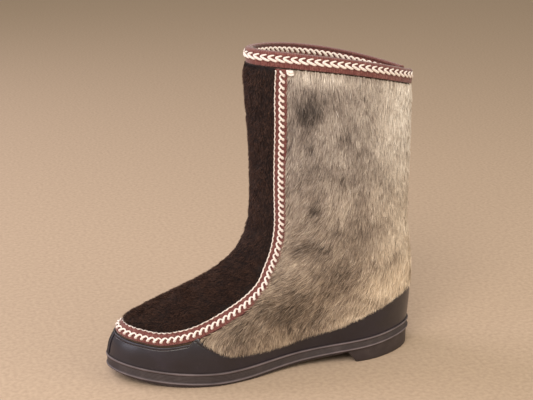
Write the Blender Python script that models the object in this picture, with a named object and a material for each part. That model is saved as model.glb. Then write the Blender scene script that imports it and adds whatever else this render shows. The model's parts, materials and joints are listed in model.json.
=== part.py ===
"""A mukluk boot for the left foot, standing empty on its sole.

Metres. +X points to the toe, +Y to the wearer's left, which is the outer side, and +Z up.
"""
import math

import bpy
import numpy as np

# Driving sizes of the form, the shape of the last
LENGTH = 0.278            # back of the heel to the tip of the toe
BALL_WIDTH = 0.090        # across the upper at the ball
HEEL_WIDTH = 0.064        # across the upper at the heel
INSTEP_HEIGHT = 0.084     # top of the instep above the sole's top edge
COLLAR_HEIGHT = 0.2625    # front of the collar above the sole's top edge
SHAFT_DEPTH = 0.1445      # front to back at the collar
SHAFT_WIDTH = 0.080       # side to side at the collar
COLLAR_BOW = 0.005        # rise of the collar's sides over its ends
TOE_SWING = 0.009         # how far the toe turns in, towards the other foot

# Walls and layers
UPPER_WALL = 0.0030       # hide and felt lining together
RAND_THICKNESS = 0.0016
PILE = 0.0040             # standing height of the fur
PILE_EDGE = 0.0017        # height of the fur where it is pressed down at a seam
PILE_SHOULDER = 0.0060    # how far from a seam the fur stands up fully
RIBBON_WIDTH = 0.0145
RIBBON_THICKNESS = 0.0014
CHAIN_ROW_RISE = 0.0008   # how far the two chain rows stand over the ribbon
COLLAR_RIBBON_DROP = 0.0105
TOE_SEAM_WIDTH = 0.0045
TOE_SEAM_THICKNESS = 0.0007

# Sole
HEEL_HEIGHT = 0.025       # top of the sole's edge at the heel
FOREFOOT_SOLE = 0.013     # thickness at the ball
TOE_SPRING = 0.010        # rise of the tread at the tip of the toe
ARCH_HEIGHT = 0.010       # rise of the tread just ahead of the heel
HEEL_LENGTH = 0.064       # tread of the heel, back to breast
BREAST_SLANT = 0.008      # how far the breast leans forward
SOLE_OVERHANG = 0.0028    # sole's edge beyond the upper's form
SIDE_STEP = 0.0009        # depth of the beads and steps of the sole's side
BAND_HEIGHT = 0.0076      # between the two beads
INSOLE_THICKNESS = 0.0030
INSOLE_CLEARANCE = 0.0015
GROOVE_WIDTH = 0.0040
GROOVE_DEPTH = 0.0018
GROOVE_PITCH = 0.0105
GROOVE_MARGIN = 0.0100    # left plain round the edge of the tread

# Zip at the back
SLOT_WIDTH = 0.0140
CHAIN_WIDTH = 0.0036
TAPE_THICKNESS = 0.0010
SLIDER_WIDTH = 0.0085
SLIDER_LENGTH = 0.0100
SLIDER_PLATE = 0.0013
SLIDER_DROP = 0.0185      # middle of the slider below the collar
BRIDGE_WIDTH = 0.0024
BRIDGE_LENGTH = 0.0074
BRIDGE_THICKNESS = 0.0012
EYE_LENGTH = 0.0050
EYE_HEIGHT = 0.0019
PULL_THICKNESS = 0.0011
PULL_LENGTH = 0.0275      # bar to tip
PULL_WIDTH = 0.0080
PULL_WINDOW = 0.0072      # bar to the lower edge of the window that the bridge passes through
PULL_CLEARANCE = 0.0005
PULL_HOLE_WIDTH = 0.0026
STOP_HEIGHT = 0.0025
ZIP_OVER_RAND = 0.00233881  # lower end of the zip's slot above the rand

# Clearances
GAP = 0.0003              # between pieces that touch on the real boot
LAY = 0.0006              # under the leather on the upper, so that flat facets stay clear of each other
FUR_LAY = 0.0010          # under the fur and the ribbon, which cross the upper's facets at a slant
EDGE_GAP = 0.0013         # between the edges of two layers that lie beside each other on the upper
RAND_GAP = 0.0020         # between the rand's curved top edge and the side fur

# Sections of the foot, from the feather line up to the instep. Shares of the named sizes:
# back, front of LENGTH; the two rises of INSTEP_HEIGHT; dip is how far a section follows the sole's top edge;
# bow of COLLAR_BOW; heel of HEEL_WIDTH; waist, ball, toe of BALL_WIDTH; swing of TOE_SWING
FOOT_ROWS = np.array([
    # back  rise   front  rise   dip   bow  heel   waist  ball   toe    swing
    (0.013, 0.000, 0.985, 0.000, 1.00, 0.0, 0.720, 0.320, 0.533, 0.555, 1.0),
    (0.009, 0.170, 0.972, 0.170, 1.00, 0.0, 0.735, 0.345, 0.533, 0.555, 1.0),
    (0.007, 0.325, 0.936, 0.330, 0.95, 0.0, 0.735, 0.365, 0.510, 0.533, 0.9),
    (0.009, 0.490, 0.820, 0.540, 0.80, 0.0, 0.720, 0.390, 0.467, 0.467, 0.7),
    (0.013, 0.690, 0.673, 0.760, 0.60, 0.0, 0.700, 0.410, 0.433, 0.410, 0.5),
    (0.022, 0.920, 0.576, 1.000, 0.35, 0.0, 0.670, 0.420, 0.422, 0.390, 0.3),
])
# Sections of the shaft, from the ankle up to the collar. back of LENGTH; the two rises are shares of the way
# from INSTEP_HEIGHT to COLLAR_HEIGHT; depth of SHAFT_DEPTH; widths of SHAFT_WIDTH
SHAFT_ROWS = np.array([
    # back  rise   depth  rise   dip   bow  heel   waist  ball   toe    swing
    (0.032, 0.100, 0.958, 0.153, 0.15, 0.0, 0.510, 0.480, 0.475, 0.450, 0.1),
    (0.034, 0.275, 0.938, 0.370, 0.05, 0.0, 0.510, 0.500, 0.490, 0.460, 0.05),
    (0.032, 0.466, 0.952, 0.600, 0.00, 0.2, 0.505, 0.510, 0.500, 0.475, 0.0),
    (0.031, 0.640, 0.976, 0.815, 0.00, 0.6, 0.490, 0.500, 0.495, 0.460, 0.0),
    (0.025, 0.796, 1.000, 1.000, 0.00, 1.0, 0.465, 0.475, 0.475, 0.450, 0.0),
])
# Where along a section, from back to front, its five half widths are: heel, waist, ball, toe, toe
WIDTH_PLACES = np.array([0.0, 0.14, 0.42, 0.72, 0.90, 1.0])
# Top edge of the sole. place of LENGTH; height made of shares of HEEL_HEIGHT, FOREFOOT_SOLE and TOE_SPRING
SOLE_TOP_ROWS = np.array([
    # place heel   fore   spring
    (0.000, 1.00, 0.00, 0.00),
    (0.126, 0.94, 0.00, 0.00),
    (0.270, 0.78, 0.08, 0.00),
    (0.432, 0.32, 0.58, 0.00),
    (0.594, 0.00, 1.00, 0.00),
    (0.737, 0.00, 1.00, 0.00),
    (0.881, 0.00, 1.00, 0.30),
    (1.000, 0.00, 1.00, 0.80),
])
FOREFOOT_FLAT = (0.56, 0.74)   # the tread lies on the floor between these shares of LENGTH
# Steps of the sole's side, from the top edge down. drop is a share of BAND_HEIGHT; proud a share of SIDE_STEP
SIDE_ROWS = np.array([
    # drop  proud
    (0.00, 0.0),
    (0.10, 1.0),
    (0.24, 0.1),
    (0.96, 0.0),
    (1.06, 0.9),
    (1.20, -0.9),
])
BAND_SPREAD = 0.20             # the band is this much taller at the forefoot
BAND_GROWS = (0.3, 0.6)        # and grows to that between these shares of LENGTH
# Rounded edge of the tread: inset and rise, shares of SIDE_STEP
TREAD_EDGE = ((1.0, 1.0), (2.0, 0.0))
# Seam under the vamp ribbon, from the collar to the middle of the toe: angle round the section in degrees,
# from the heel, and place up the form from 0 at the sole to 1 at the collar. The other side mirrors it.
SEAM_ROWS = np.array([
    # angle  up
    (137.0, 1.000),
    (141.0, 0.860),
    (144.5, 0.720),
    (141.5, 0.590),
    (136.5, 0.490),
    (128.5, 0.400),
    (126.0, 0.335),
    (130.5, 0.245),
    (140.0, 0.200),
    (157.0, 0.187),
    (180.0, 0.183),
])
# Top edge of the rand, from the middle of the heel to where it meets the ribbon
RAND_ROWS = np.array([
    # angle  up
    (0.0, 0.258),
    (23.0, 0.246),
    (41.0, 0.217),
    (55.0, 0.167),
    (65.0, 0.121),
    (77.0, 0.101),
    (90.0, 0.085),
    (103.0, 0.093),
    (111.0, 0.107),
    (119.0, 0.155),
    (127.5, 0.212),
])
# Edge of the zip pull, from its bar to its tip: half width of PULL_WIDTH / 2, place of PULL_LENGTH
PULL_ROWS = [
    (0.85, 0.00),
    (0.85, 0.32),
    (0.55, 0.39),
    (0.85, 0.54),
    (1.00, 0.68),
    (0.92, 0.82),
    (0.60, 0.94),
    (0.00, 1.00),
]
PULL_HOLE = (0.90, 0.52)       # lower and upper end of the pull's hole, shares of PULL_LENGTH

# How finely the pieces are divided
RIM_COLUMNS = 48
SOLE_STATIONS = 25
ROW_SPACE = 0.012              # least step from a line's end to its next row, as a place up the form


def curve_through(x, knots, values):
    """Catmull-Rom curve through rows of values at the knots, read at x."""
    slope = np.gradient(values, knots, axis=0)
    i = np.clip(np.searchsorted(knots, x) - 1, 0, len(knots) - 2)
    step = knots[i + 1] - knots[i]
    q = (x - knots[i]) / step
    if values.ndim > 1:
        q = q[..., None]
        step = step[..., None]
    start = (2 * q**3 - 3 * q**2 + 1) * values[i] + (q**3 - 2 * q**2 + q) * step * slope[i]
    end = (3 * q**2 - 2 * q**3) * values[i + 1] + (q**3 - q**2) * step * slope[i + 1]
    return start + end


def form_rows():
    """The sections' tables in metres, foot and shaft together."""
    foot = FOOT_ROWS * [LENGTH, INSTEP_HEIGHT, LENGTH, INSTEP_HEIGHT, 1, COLLAR_BOW,
                        HEEL_WIDTH, BALL_WIDTH, BALL_WIDTH, BALL_WIDTH, TOE_SWING]
    climb = COLLAR_HEIGHT - INSTEP_HEIGHT
    shaft = SHAFT_ROWS * [LENGTH, climb, SHAFT_DEPTH, climb, 1, COLLAR_BOW,
                          SHAFT_WIDTH, SHAFT_WIDTH, SHAFT_WIDTH, SHAFT_WIDTH, TOE_SWING]
    shaft[:, 2] += shaft[:, 0]
    shaft[:, [1, 3]] += INSTEP_HEIGHT
    return np.vstack([foot, shaft])


ROWS = form_rows()
ROW_PLACES = np.linspace(0, 1, len(ROWS))


def sole_top(x):
    """Height of the sole's top edge at x."""
    heights = SOLE_TOP_ROWS[:, 1:] @ [HEEL_HEIGHT, FOREFOOT_SOLE, TOE_SPRING]
    return curve_through(np.clip(x, 0, LENGTH), SOLE_TOP_ROWS[:, 0] * LENGTH, heights)


def form(theta, up):
    """Outer face of the upper. theta runs round from the heel over the outer side, 180 degrees at the toe.

    Each section is a loop with its own back, front and half widths. Its height follows the sole's top edge by
    its dip.
    """
    theta, up = np.broadcast_arrays(np.asarray(theta, float), np.asarray(up, float))
    row = curve_through(up, ROW_PLACES, ROWS)
    back, back_rise, front, front_rise, dip, bow, heel, waist, ball, toe, swing = np.moveaxis(row, -1, 0)
    t = (1 - np.cos(theta)) / 2
    x = back + (front - back) * t
    chord = sole_top(back) * (1 - t) + sole_top(front) * t
    z = dip * sole_top(x) + (1 - dip) * chord + back_rise * (1 - t) + front_rise * t
    z = z + bow * 4 * t * (1 - t) + GAP
    widths = np.moveaxis(np.stack([heel, heel, waist, ball, toe, toe]), 0, -1)
    y = np.sin(theta) * width_at(t, widths) - swing * np.clip((t - 0.45) / 0.55, 0, 1)**1.6
    return np.stack([x, y, z], -1)


def width_at(t, widths):
    """Half width at the share t of a section, by a smooth curve through its own row of widths."""
    slope = np.gradient(widths, WIDTH_PLACES, axis=-1)
    i = np.clip(np.searchsorted(WIDTH_PLACES, t) - 1, 0, len(WIDTH_PLACES) - 2)
    step = WIDTH_PLACES[i + 1] - WIDTH_PLACES[i]
    q = (t - WIDTH_PLACES[i]) / step

    def at(values, column):
        return np.take_along_axis(values, column[..., None], -1)[..., 0]

    start = (2 * q**3 - 3 * q**2 + 1) * at(widths, i) + (q**3 - 2 * q**2 + q) * step * at(slope, i)
    end = (3 * q**2 - 2 * q**3) * at(widths, i + 1) + (q**3 - q**2) * step * at(slope, i + 1)
    return start + end


def slopes(theta, up, step=1e-4):
    """How the form moves with its angle and with its place up."""
    round_it = (form(theta + step, up) - form(theta - step, up)) / (2 * step)
    up_it = (form(theta, up + step) - form(theta, up - step)) / (2 * step)
    return round_it, up_it


# Bottom of the zip, as a place up the form
ZIP_FOOT = RAND_ROWS[0, 1] + ZIP_OVER_RAND / np.linalg.norm(slopes(0.0, RAND_ROWS[0, 1])[1])
# Rows of the upper, as places up the form: closest where the instep bends
UPPER_ROWS = np.array([0, 0.05, 0.10, 0.14, 0.18, 0.22, ZIP_FOOT, 0.31, 0.345, 0.38, 0.415, 0.45, 0.49,
                       0.53, 0.575, 0.63, 0.69, 0.76, 0.84, 0.92, 1.0])


def outward(theta, up):
    """Unit normal of the form, away from the foot."""
    round_it, up_it = slopes(theta, up)
    normal = np.cross(up_it, round_it)
    return normal / np.linalg.norm(normal, axis=-1, keepdims=True)


def skin(theta, up, lift):
    """A point on the form, raised along its normal by lift."""
    return form(theta, up) + np.asarray(lift)[..., None] * outward(theta, up)


def beside(theta, up, distance):
    """Moves a line on the form sideways along the surface, to the back where the seam goes down."""
    here = form(theta, up)
    along = np.gradient(here, axis=0)
    side = np.cross(outward(theta, up), along)
    side *= distance / np.linalg.norm(side, axis=-1, keepdims=True)
    round_it, up_it = slopes(theta, up)
    a = (round_it**2).sum(-1)
    b = (round_it * up_it).sum(-1)
    c = (up_it**2).sum(-1)
    p = (side * round_it).sum(-1)
    q = (side * up_it).sum(-1)
    det = a * c - b * b
    return theta + (c * p - b * q) / det, up + (a * q - b * p) / det


def spaced(theta, up, count):
    """The same line with count points at even distances along the form."""
    steps = np.linalg.norm(np.diff(form(theta, up), axis=0), axis=1)
    run = np.concatenate([[0], np.cumsum(steps)])
    even = np.linspace(0, run[-1], count)
    return np.interp(even, run, theta), np.interp(even, run, up)


def on_rows(theta, up):
    """A line that climbs the form, with its points on the upper's rows, so that facets lie over facets."""
    inner = UPPER_ROWS[(UPPER_ROWS > up[0] + ROW_SPACE) & (UPPER_ROWS < up[-1] - ROW_SPACE)]
    places = np.concatenate([up[:1], inner, up[-1:]])
    return np.interp(places, up, theta), places


def line_through(rows, count):
    """A smooth line on the form through a table of angles and places, evenly spaced."""
    knots = np.concatenate([[0], np.cumsum(np.linalg.norm(np.diff(rows * [1 / 60, 1.5], axis=0), axis=1))])
    fine = curve_through(np.linspace(0, knots[-1], 400), knots, rows)
    return spaced(np.radians(fine[:, 0]), fine[:, 1], count)


def below_collar(theta, distance):
    """Place up the form at a distance below the collar."""
    climb = np.linalg.norm(slopes(theta, np.ones_like(theta))[1], axis=-1)
    return 1 - distance / climb


def from_zip(up, distance):
    """Angle at a distance from the middle of the back."""
    return distance / np.linalg.norm(slopes(np.zeros_like(up), up)[0], axis=-1)


def seam_line(count, stop=COLLAR_RIBBON_DROP + GAP):
    """The ribbon's middle line: down the outer side, round the toe and up the inner side.

    Both ends are under the collar ribbon.
    """
    mirrored = np.stack([360 - SEAM_ROWS[-2::-1, 0], SEAM_ROWS[-2::-1, 1]], 1)
    theta, up = line_through(np.vstack([SEAM_ROWS, mirrored]), 600)
    keep = up < below_collar(theta, stop)
    return spaced(theta[keep], up[keep], count)


def tone(code):
    """A colour of the web's six digits as linear red, green, blue and full cover."""
    channels = np.array([int(code[i:i + 2], 16) for i in (0, 2, 4)]) / 255
    linear = np.where(channels < 0.04045, channels / 12.92, ((channels + 0.055) / 1.055)**2.4)
    return (*linear.tolist(), 1.0)


def material(name, code, roughness, metallic=0.0):
    """A material with the piece's colour, roughness and metal."""
    made = bpy.data.materials.new(name)
    made.use_nodes = True
    shader = made.node_tree.nodes["Principled BSDF"]
    shader.inputs["Base Color"].default_value = tone(code)
    shader.inputs["Roughness"].default_value = roughness
    shader.inputs["Metallic"].default_value = metallic
    made.diffuse_color = tone(code)
    return made


def add_piece(name, vertices, faces, finish, smooth=True):
    """Adds a piece with its own mesh and material, its faces turned outwards."""
    mesh = bpy.data.meshes.new(name)
    mesh.from_pydata([tuple(v) for v in vertices], [], faces)
    mesh.validate()
    turn_outwards(mesh)
    mesh.materials.append(finish)
    if smooth:
        mesh.shade_smooth()
        mesh.set_sharp_from_angle(angle=math.radians(35))
    piece = bpy.data.objects.new(name, mesh)
    bpy.context.collection.objects.link(piece)
    return piece


def turn_outwards(mesh):
    """Turns all faces of a closed mesh outwards: its volume, summed over its faces, has to be above zero."""
    mesh.calc_loop_triangles()
    points = np.array([v.co for v in mesh.vertices])
    corners = points[np.array([t.vertices for t in mesh.loop_triangles])]
    volume = np.einsum("ij,ij->i", corners[:, 0], np.cross(corners[:, 1], corners[:, 2])).sum()
    if volume < 0:
        mesh.flip_normals()


def add_sheet(name, outer, inner, finish, wrap=False, missing=None):
    """A closed body between two faces, each a grid of points, with walls along every free edge.

    wrap joins the last column to the first. missing marks cells that stay open, such as the zip's slot.
    """
    rows, columns = outer.shape[:2]
    number = np.arange(rows * columns).reshape(rows, columns)
    cells = []
    for r in range(rows - 1):
        for c in range(columns if wrap else columns - 1):
            if missing is None or not missing[r, c]:
                d = (c + 1) % columns
                cells.append((number[r, c], number[r, d], number[r + 1, d], number[r + 1, c]))
    edges = {}
    for cell in cells:
        for i in range(4):
            a, b = int(cell[i]), int(cell[(i + 1) % 4])
            if (b, a) in edges:
                del edges[(b, a)]
            else:
                edges[(a, b)] = True
    other = rows * columns
    faces = [tuple(int(i) for i in cell) for cell in cells]
    faces += [tuple(int(i) + other for i in reversed(cell)) for cell in cells]
    faces += [(b, a, a + other, b + other) for a, b in edges]
    points = np.concatenate([outer.reshape(-1, 3), inner.reshape(-1, 3)])
    used = sorted({i for face in faces for i in face})
    place = {old: new for new, old in enumerate(used)}
    faces = [tuple(place[i] for i in face) for face in faces]
    return add_piece(name, points[used], faces, finish)


def patch(left, right, bottom, top):
    """A grid inside four lines on the form, each a pair of arrays.

    The left and right lines run up, the others from left to right.
    """
    rows, columns = len(left[0]), len(bottom[0])
    i = np.linspace(0, 1, rows)[:, None]
    j = np.linspace(0, 1, columns)[None, :]
    grids = []
    for le, ri, bo, to in zip(left, right, bottom, top):
        ruled = (1 - j) * le[:, None] + j * ri[:, None] + (1 - i) * bo[None, :] + i * to[None, :]
        corners = (1 - i) * ((1 - j) * bo[0] + j * bo[-1]) + i * ((1 - j) * to[0] + j * to[-1])
        grids.append(ruled - corners)
    return grids


def seat_on_sole(grid):
    """Sets the lowest row of a grid just above the sole's top face."""
    grid[0, :, 2] = sole_top(grid[0, :, 0]) + GAP


def pile_height(theta, up):
    """Height of the fur over a grid: low where it meets a seam, full from PILE_SHOULDER on."""
    points = form(theta, up)
    edge = np.full(theta.shape, np.inf)
    for axis in (0, 1):
        run = np.linalg.norm(np.diff(points, axis=axis), axis=-1)
        zero = np.zeros_like(np.take(run, [0], axis))
        ahead = np.concatenate([zero, np.cumsum(run, axis)], axis)
        edge = np.minimum(edge, np.minimum(ahead, np.take(ahead, [-1], axis) - ahead))
    share = np.clip(edge / PILE_SHOULDER, 0, 1)
    return FUR_LAY + PILE_EDGE + (PILE - PILE_EDGE) * np.sin(share * math.pi / 2)


def sole_stations():
    """Angles of the sole's stations, heel to toe, with one at each end of the heel's breast and of the flat."""
    places = np.array([HEEL_LENGTH, HEEL_LENGTH + BREAST_SLANT,
                       FOREFOOT_FLAT[0] * LENGTH, FOREFOOT_FLAT[1] * LENGTH])
    fixed = np.array([angle_at(x) for x in places])
    even = np.linspace(0, math.pi, SOLE_STATIONS)
    clear = np.abs(even[:, None] - fixed[None, :]).min(axis=1) > math.radians(2.5)
    return np.sort(np.concatenate([even[clear], fixed]))


def angle_at(x):
    """Angle round the feather line where it reaches x on the outer side."""
    back, front = form(0.0, 0.0)[0], form(math.pi, 0.0)[0]
    return math.acos(1 - 2 * (x - back) / (front - back))


def plan_loop(theta, offset):
    """The feather line seen from above, moved outwards by offset, round the whole foot."""
    around = np.concatenate([theta, 2 * math.pi - theta[-2:0:-1]])
    line = form(around, 0.0)
    run = slopes(around, np.zeros_like(around))[0]
    across = np.stack([-run[:, 1], run[:, 0], np.zeros(len(run))], -1)
    across /= np.linalg.norm(across, axis=1, keepdims=True)
    return line, line + offset * across


def tread_height(x):
    """Height of the sole's underside: heel's tread, arch, forefoot on the floor and toe spring."""
    flat_start, flat_end = FOREFOOT_FLAT[0] * LENGTH, FOREFOOT_FLAT[1] * LENGTH
    arch_start = HEEL_LENGTH + BREAST_SLANT
    arch = np.clip((flat_start - x) / (flat_start - arch_start), 0, 1)
    spring = np.clip((x - flat_end) / (LENGTH - flat_end), 0, 1)
    height = ARCH_HEIGHT * arch**1.3 + TOE_SPRING * spring**2
    return np.where(x < HEEL_LENGTH + BREAST_SLANT / 2, 0.0, height)


def ladder(columns, first, flip):
    """Faces straight across a loop of points, from its outer side to its inner side."""
    half = columns // 2
    faces = []
    for k in range(half):
        near = (first + k, first + k + 1)
        far = (first + (columns - k) % columns, first + columns - k - 1)
        face = [near[0], near[1], far[1], far[0]]
        face = list(dict.fromkeys(face))
        faces.append(tuple(reversed(face)) if flip else tuple(face))
    return faces


def add_block(name, rings, finish):
    """A closed body from loops of points stacked from top to bottom, closed by ladders."""
    columns = len(rings[0])
    faces = ladder(columns, 0, True)
    for r in range(len(rings) - 1):
        for c in range(columns):
            d = (c + 1) % columns
            faces.append((r * columns + c, r * columns + d, (r + 1) * columns + d, (r + 1) * columns + c))
    faces += ladder(columns, (len(rings) - 1) * columns, False)
    return add_piece(name, np.concatenate(rings), faces, finish)


def add_box(name, low, high, finish):
    """A plain box between two corners."""
    corners = np.array([[(low, high)[(i >> k) & 1][k] for k in range(3)] for i in range(8)])
    faces = [(0, 2, 3, 1), (4, 5, 7, 6), (0, 1, 5, 4), (2, 6, 7, 3), (0, 4, 6, 2), (1, 3, 7, 5)]
    return add_piece(name, corners, faces, finish, smooth=False)


def use_tool(piece, tool, operation):
    """Cuts the tool from a piece or joins it to the piece. The tool itself stays out of the model."""
    tool.hide_render = True
    tool.display_type = "WIRE"
    step = piece.modifiers.new(tool.name, "BOOLEAN")
    step.operation = operation
    step.object = tool


def make_outsole():
    """Moulded rubber unit sole: beads and band round its side, heel, arch, toe spring and grooved tread."""
    finish = material("brown_rubber", "3a302f", 0.55)
    theta = sole_stations()
    rings = []
    for drop, proud in SIDE_ROWS:
        loop = plan_loop(theta, SOLE_OVERHANG + proud * SIDE_STEP)[1]
        fore = np.clip((loop[:, 0] / LENGTH - BAND_GROWS[0]) / (BAND_GROWS[1] - BAND_GROWS[0]), 0, 1)
        loop[:, 2] = sole_top(loop[:, 0]) - drop * BAND_HEIGHT * (1 + BAND_SPREAD * fore)
        rings.append(loop)
    for inset, rise in TREAD_EDGE:
        base, loop = plan_loop(theta, SOLE_OVERHANG - inset * SIDE_STEP)
        loop[:, 2] = tread_height(base[:, 0]) + rise * SIDE_STEP
        rings.append(loop)
    outsole = add_block("outsole", rings, finish)
    heel_span = (GROOVE_MARGIN, HEEL_LENGTH - GROOVE_MARGIN)
    fore_span = (FOREFOOT_FLAT[0] * LENGTH, FOREFOOT_FLAT[1] * LENGTH)
    for place, (start, end) in (("heel", heel_span), ("fore", fore_span)):
        count = int((end - start) / GROOVE_PITCH)
        for k in range(count):
            x = (start + end) / 2 + (k - (count - 1) / 2) * GROOVE_PITCH
            near, far = tread_edges(x)
            tool = add_box(f"groove_{place}_{k}", (x - GROOVE_WIDTH / 2, far + GROOVE_MARGIN, -GROOVE_DEPTH),
                           (x + GROOVE_WIDTH / 2, near - GROOVE_MARGIN, GROOVE_DEPTH), finish)
            use_tool(outsole, tool, "DIFFERENCE")
    return outsole


def tread_edges(x):
    """The form's outer and inner edge at x, seen from above."""
    angle = angle_at(x)
    return form(angle, 0.0)[1], form(2 * math.pi - angle, 0.0)[1]


def make_insole():
    """Loose felt sheet on the sole, inside the upper."""
    theta = np.linspace(0, math.pi, 17)
    rings = []
    for rise in (INSOLE_THICKNESS, 0.0):
        loop = plan_loop(theta, -UPPER_WALL - INSOLE_CLEARANCE)[1]
        loop[:, 2] = sole_top(loop[:, 0]) + GAP + rise
        rings.append(loop)
    return add_block("insole", rings, material("cream_felt_insole", "c9bb94", 0.95))


def make_upper():
    """Hide and lining as one hollow wall, open at the collar, underneath and along the zip's slot."""
    up = UPPER_ROWS
    slot = from_zip(up, SLOT_WIDTH / 2)
    slot_columns = 3
    wall_columns = RIM_COLUMNS - slot_columns
    share = np.linspace(0, 1, wall_columns + 1)[None, :]
    theta = slot[:, None] + (2 * math.pi - 2 * slot)[:, None] * share
    crossing = np.linspace(0, 1, slot_columns + 1)[None, 1:-1]
    theta = np.concatenate([theta, -slot[:, None] + 2 * slot[:, None] * crossing], 1)
    grid = np.broadcast_to(up[:, None], theta.shape)
    outer = skin(theta, grid, np.zeros(theta.shape))
    inner = skin(theta, grid, np.full(theta.shape, -UPPER_WALL))
    seat_on_sole(inner)
    missing = np.zeros((len(up) - 1, theta.shape[1]), bool)
    missing[up[:-1] >= ZIP_FOOT - 1e-9, wall_columns:] = True
    finish = material("hide_and_lining", "b7a98a", 0.9)
    return add_sheet("upper", outer, inner, finish, wrap=True, missing=missing)


def rand_edge(theta):
    """Top of the rand at each angle: its own line behind, and the ribbon's lower edge round the toe."""
    line_theta, line_up = line_through(RAND_ROWS, 120)
    ribbon_theta, ribbon_up = ribbon_side(RIBBON_WIDTH / 2 + EDGE_GAP)
    ahead = (ribbon_theta > line_theta[-1]) & (ribbon_up < line_up[-1] * 1.1)
    order = np.argsort(ribbon_theta[ahead])
    angles = np.concatenate([line_theta, ribbon_theta[ahead][order]])
    places = np.concatenate([line_up, ribbon_up[ahead][order]])
    folded = np.where(theta > math.pi, 2 * math.pi - theta, theta)
    return np.interp(folded, angles, places)


def ribbon_side(distance):
    """The line beside the ribbon's middle at a distance, on the boot's outer half, from collar to toe."""
    theta, up = seam_line(241)
    theta, up = beside(theta, up, distance)
    return theta[:121], up[:121]


def make_rand():
    """Smooth leather all round above the sole, high at heel and toe."""
    theta = np.linspace(0, 2 * math.pi, 65)[:-1]
    top = rand_edge(theta)
    up = np.linspace(0, 1, 5)[:, None] * top[None, :]
    grid = np.broadcast_to(theta[None, :], up.shape)
    thick = np.full(up.shape, LAY + RAND_THICKNESS)
    thick[-1] -= RAND_THICKNESS / 3
    outer = skin(grid, up, thick)
    inner = skin(grid, up, np.full(up.shape, LAY))
    seat_on_sole(outer)
    seat_on_sole(inner)
    return add_sheet("rand", outer, inner, material("brown_leather", "332a30", 0.4), wrap=True)


def make_toe_seam():
    """Narrow leather strip over the rand's join at the middle of the toe."""
    up = np.linspace(0.02, 1, 6) * (rand_edge(np.array([math.pi]))[0] - 0.008)
    half = TOE_SEAM_WIDTH / 2 / np.linalg.norm(slopes(np.full(6, math.pi), up)[0], axis=-1)
    theta = math.pi + half[:, None] * np.array([-1, 0, 1])[None, :]
    grid = np.broadcast_to(up[:, None], theta.shape)
    seat = LAY + RAND_THICKNESS + GAP
    outer = skin(theta, grid, np.full(theta.shape, seat + TOE_SEAM_THICKNESS))
    inner = skin(theta, grid, np.full(theta.shape, seat))
    return add_sheet("toe_seam", outer, inner, material("brown_leather_strip", "2c2428", 0.45))


def make_side_fur(name, mirrored):
    """Short seal fur on one side, between zip, collar, ribbon and rand."""
    columns = 13
    space = EDGE_GAP
    edge_theta, edge_up = ribbon_side(RIBBON_WIDTH / 2 + space)
    line_theta, line_up = line_through(RAND_ROWS, 200)
    line_up = line_up + RAND_GAP / np.linalg.norm(slopes(line_theta, line_up)[1], axis=-1)
    low = np.interp(edge_theta, line_theta, line_up, right=line_up[-1])
    stop = np.argmax(edge_up < low)
    right = on_rows(edge_theta[:stop + 1][::-1], edge_up[:stop + 1][::-1])
    rows = len(right[0])
    corner = edge_theta[stop]
    zip_theta = from_zip(line_up[:1], SLOT_WIDTH / 2 + space)[0]
    low_theta = np.linspace(zip_theta, corner, columns)
    bottom = (low_theta, np.interp(low_theta, line_theta, line_up))
    bottom[1][-1] = right[1][0]
    left_up = np.linspace(bottom[1][0], below_collar(np.zeros(1), COLLAR_RIBBON_DROP + space)[0], rows)
    left = (from_zip(left_up, SLOT_WIDTH / 2 + space), left_up)
    top_theta = np.linspace(left[0][-1], right[0][-1], columns)
    top_up = below_collar(top_theta, COLLAR_RIBBON_DROP + space)
    right[1][-1] = top_up[-1]
    theta, up = patch(left, right, bottom, (top_theta, top_up))
    if mirrored:
        theta = 2 * math.pi - theta
    outer = skin(theta, up, pile_height(theta, up))
    inner = skin(theta, up, np.full(theta.shape, FUR_LAY))
    return add_sheet(name, outer, inner, material(name + "_seal", "a0937c", 0.85))


def make_front_fur():
    """Plush fur from the collar to the toe, between the two runs of the ribbon."""
    space = EDGE_GAP
    theta, up = seam_line(401)
    theta, up = beside(theta, up, -RIBBON_WIDTH / 2 - space)
    turn = toe_corner(up)
    left = on_rows(theta[:turn + 1][::-1], up[:turn + 1][::-1])
    right = (2 * math.pi - left[0], left[1])
    bottom = spaced(theta[turn:401 - turn], up[turn:401 - turn], 9)
    top_theta = np.linspace(left[0][-1], right[0][-1], 9)
    top_up = below_collar(top_theta, COLLAR_RIBBON_DROP + space)
    left[1][-1] = top_up[0]
    right[1][-1] = top_up[-1]
    theta, up = patch(left, right, bottom, (top_theta, top_up))
    outer = skin(theta, up, pile_height(theta, up))
    inner = skin(theta, up, np.full(theta.shape, FUR_LAY))
    return add_sheet("front_fur", outer, inner, material("front_fur_plush", "1d1412", 0.9))


def toe_corner(up):
    """Where the seam's inner edge turns across the toe: the first point almost as low as its lowest."""
    return int(np.argmax(up < up.min() + 0.035))


def make_vamp_ribbon():
    """Woven ribbon over the join of front and side fur, with two raised chain rows."""
    theta, up = seam_line(73)
    half = RIBBON_WIDTH / 2
    across = np.array([half, half * 0.45, 0.0, -half * 0.45, -half])
    rise = np.array([0.0, CHAIN_ROW_RISE, 0.0, CHAIN_ROW_RISE, 0.0])
    lines = [beside(theta, up, d) for d in across]
    grid_theta = np.stack([line[0] for line in lines], 1)
    grid_up = np.stack([line[1] for line in lines], 1)
    lift = FUR_LAY + RIBBON_THICKNESS + np.broadcast_to(rise[None, :], grid_theta.shape)
    outer = skin(grid_theta, grid_up, lift)
    inner = skin(grid_theta, grid_up, np.full(grid_theta.shape, FUR_LAY))
    return add_sheet("vamp_ribbon", outer, inner, material("ribbon_red_brown", "6a3b34", 0.85))


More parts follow.
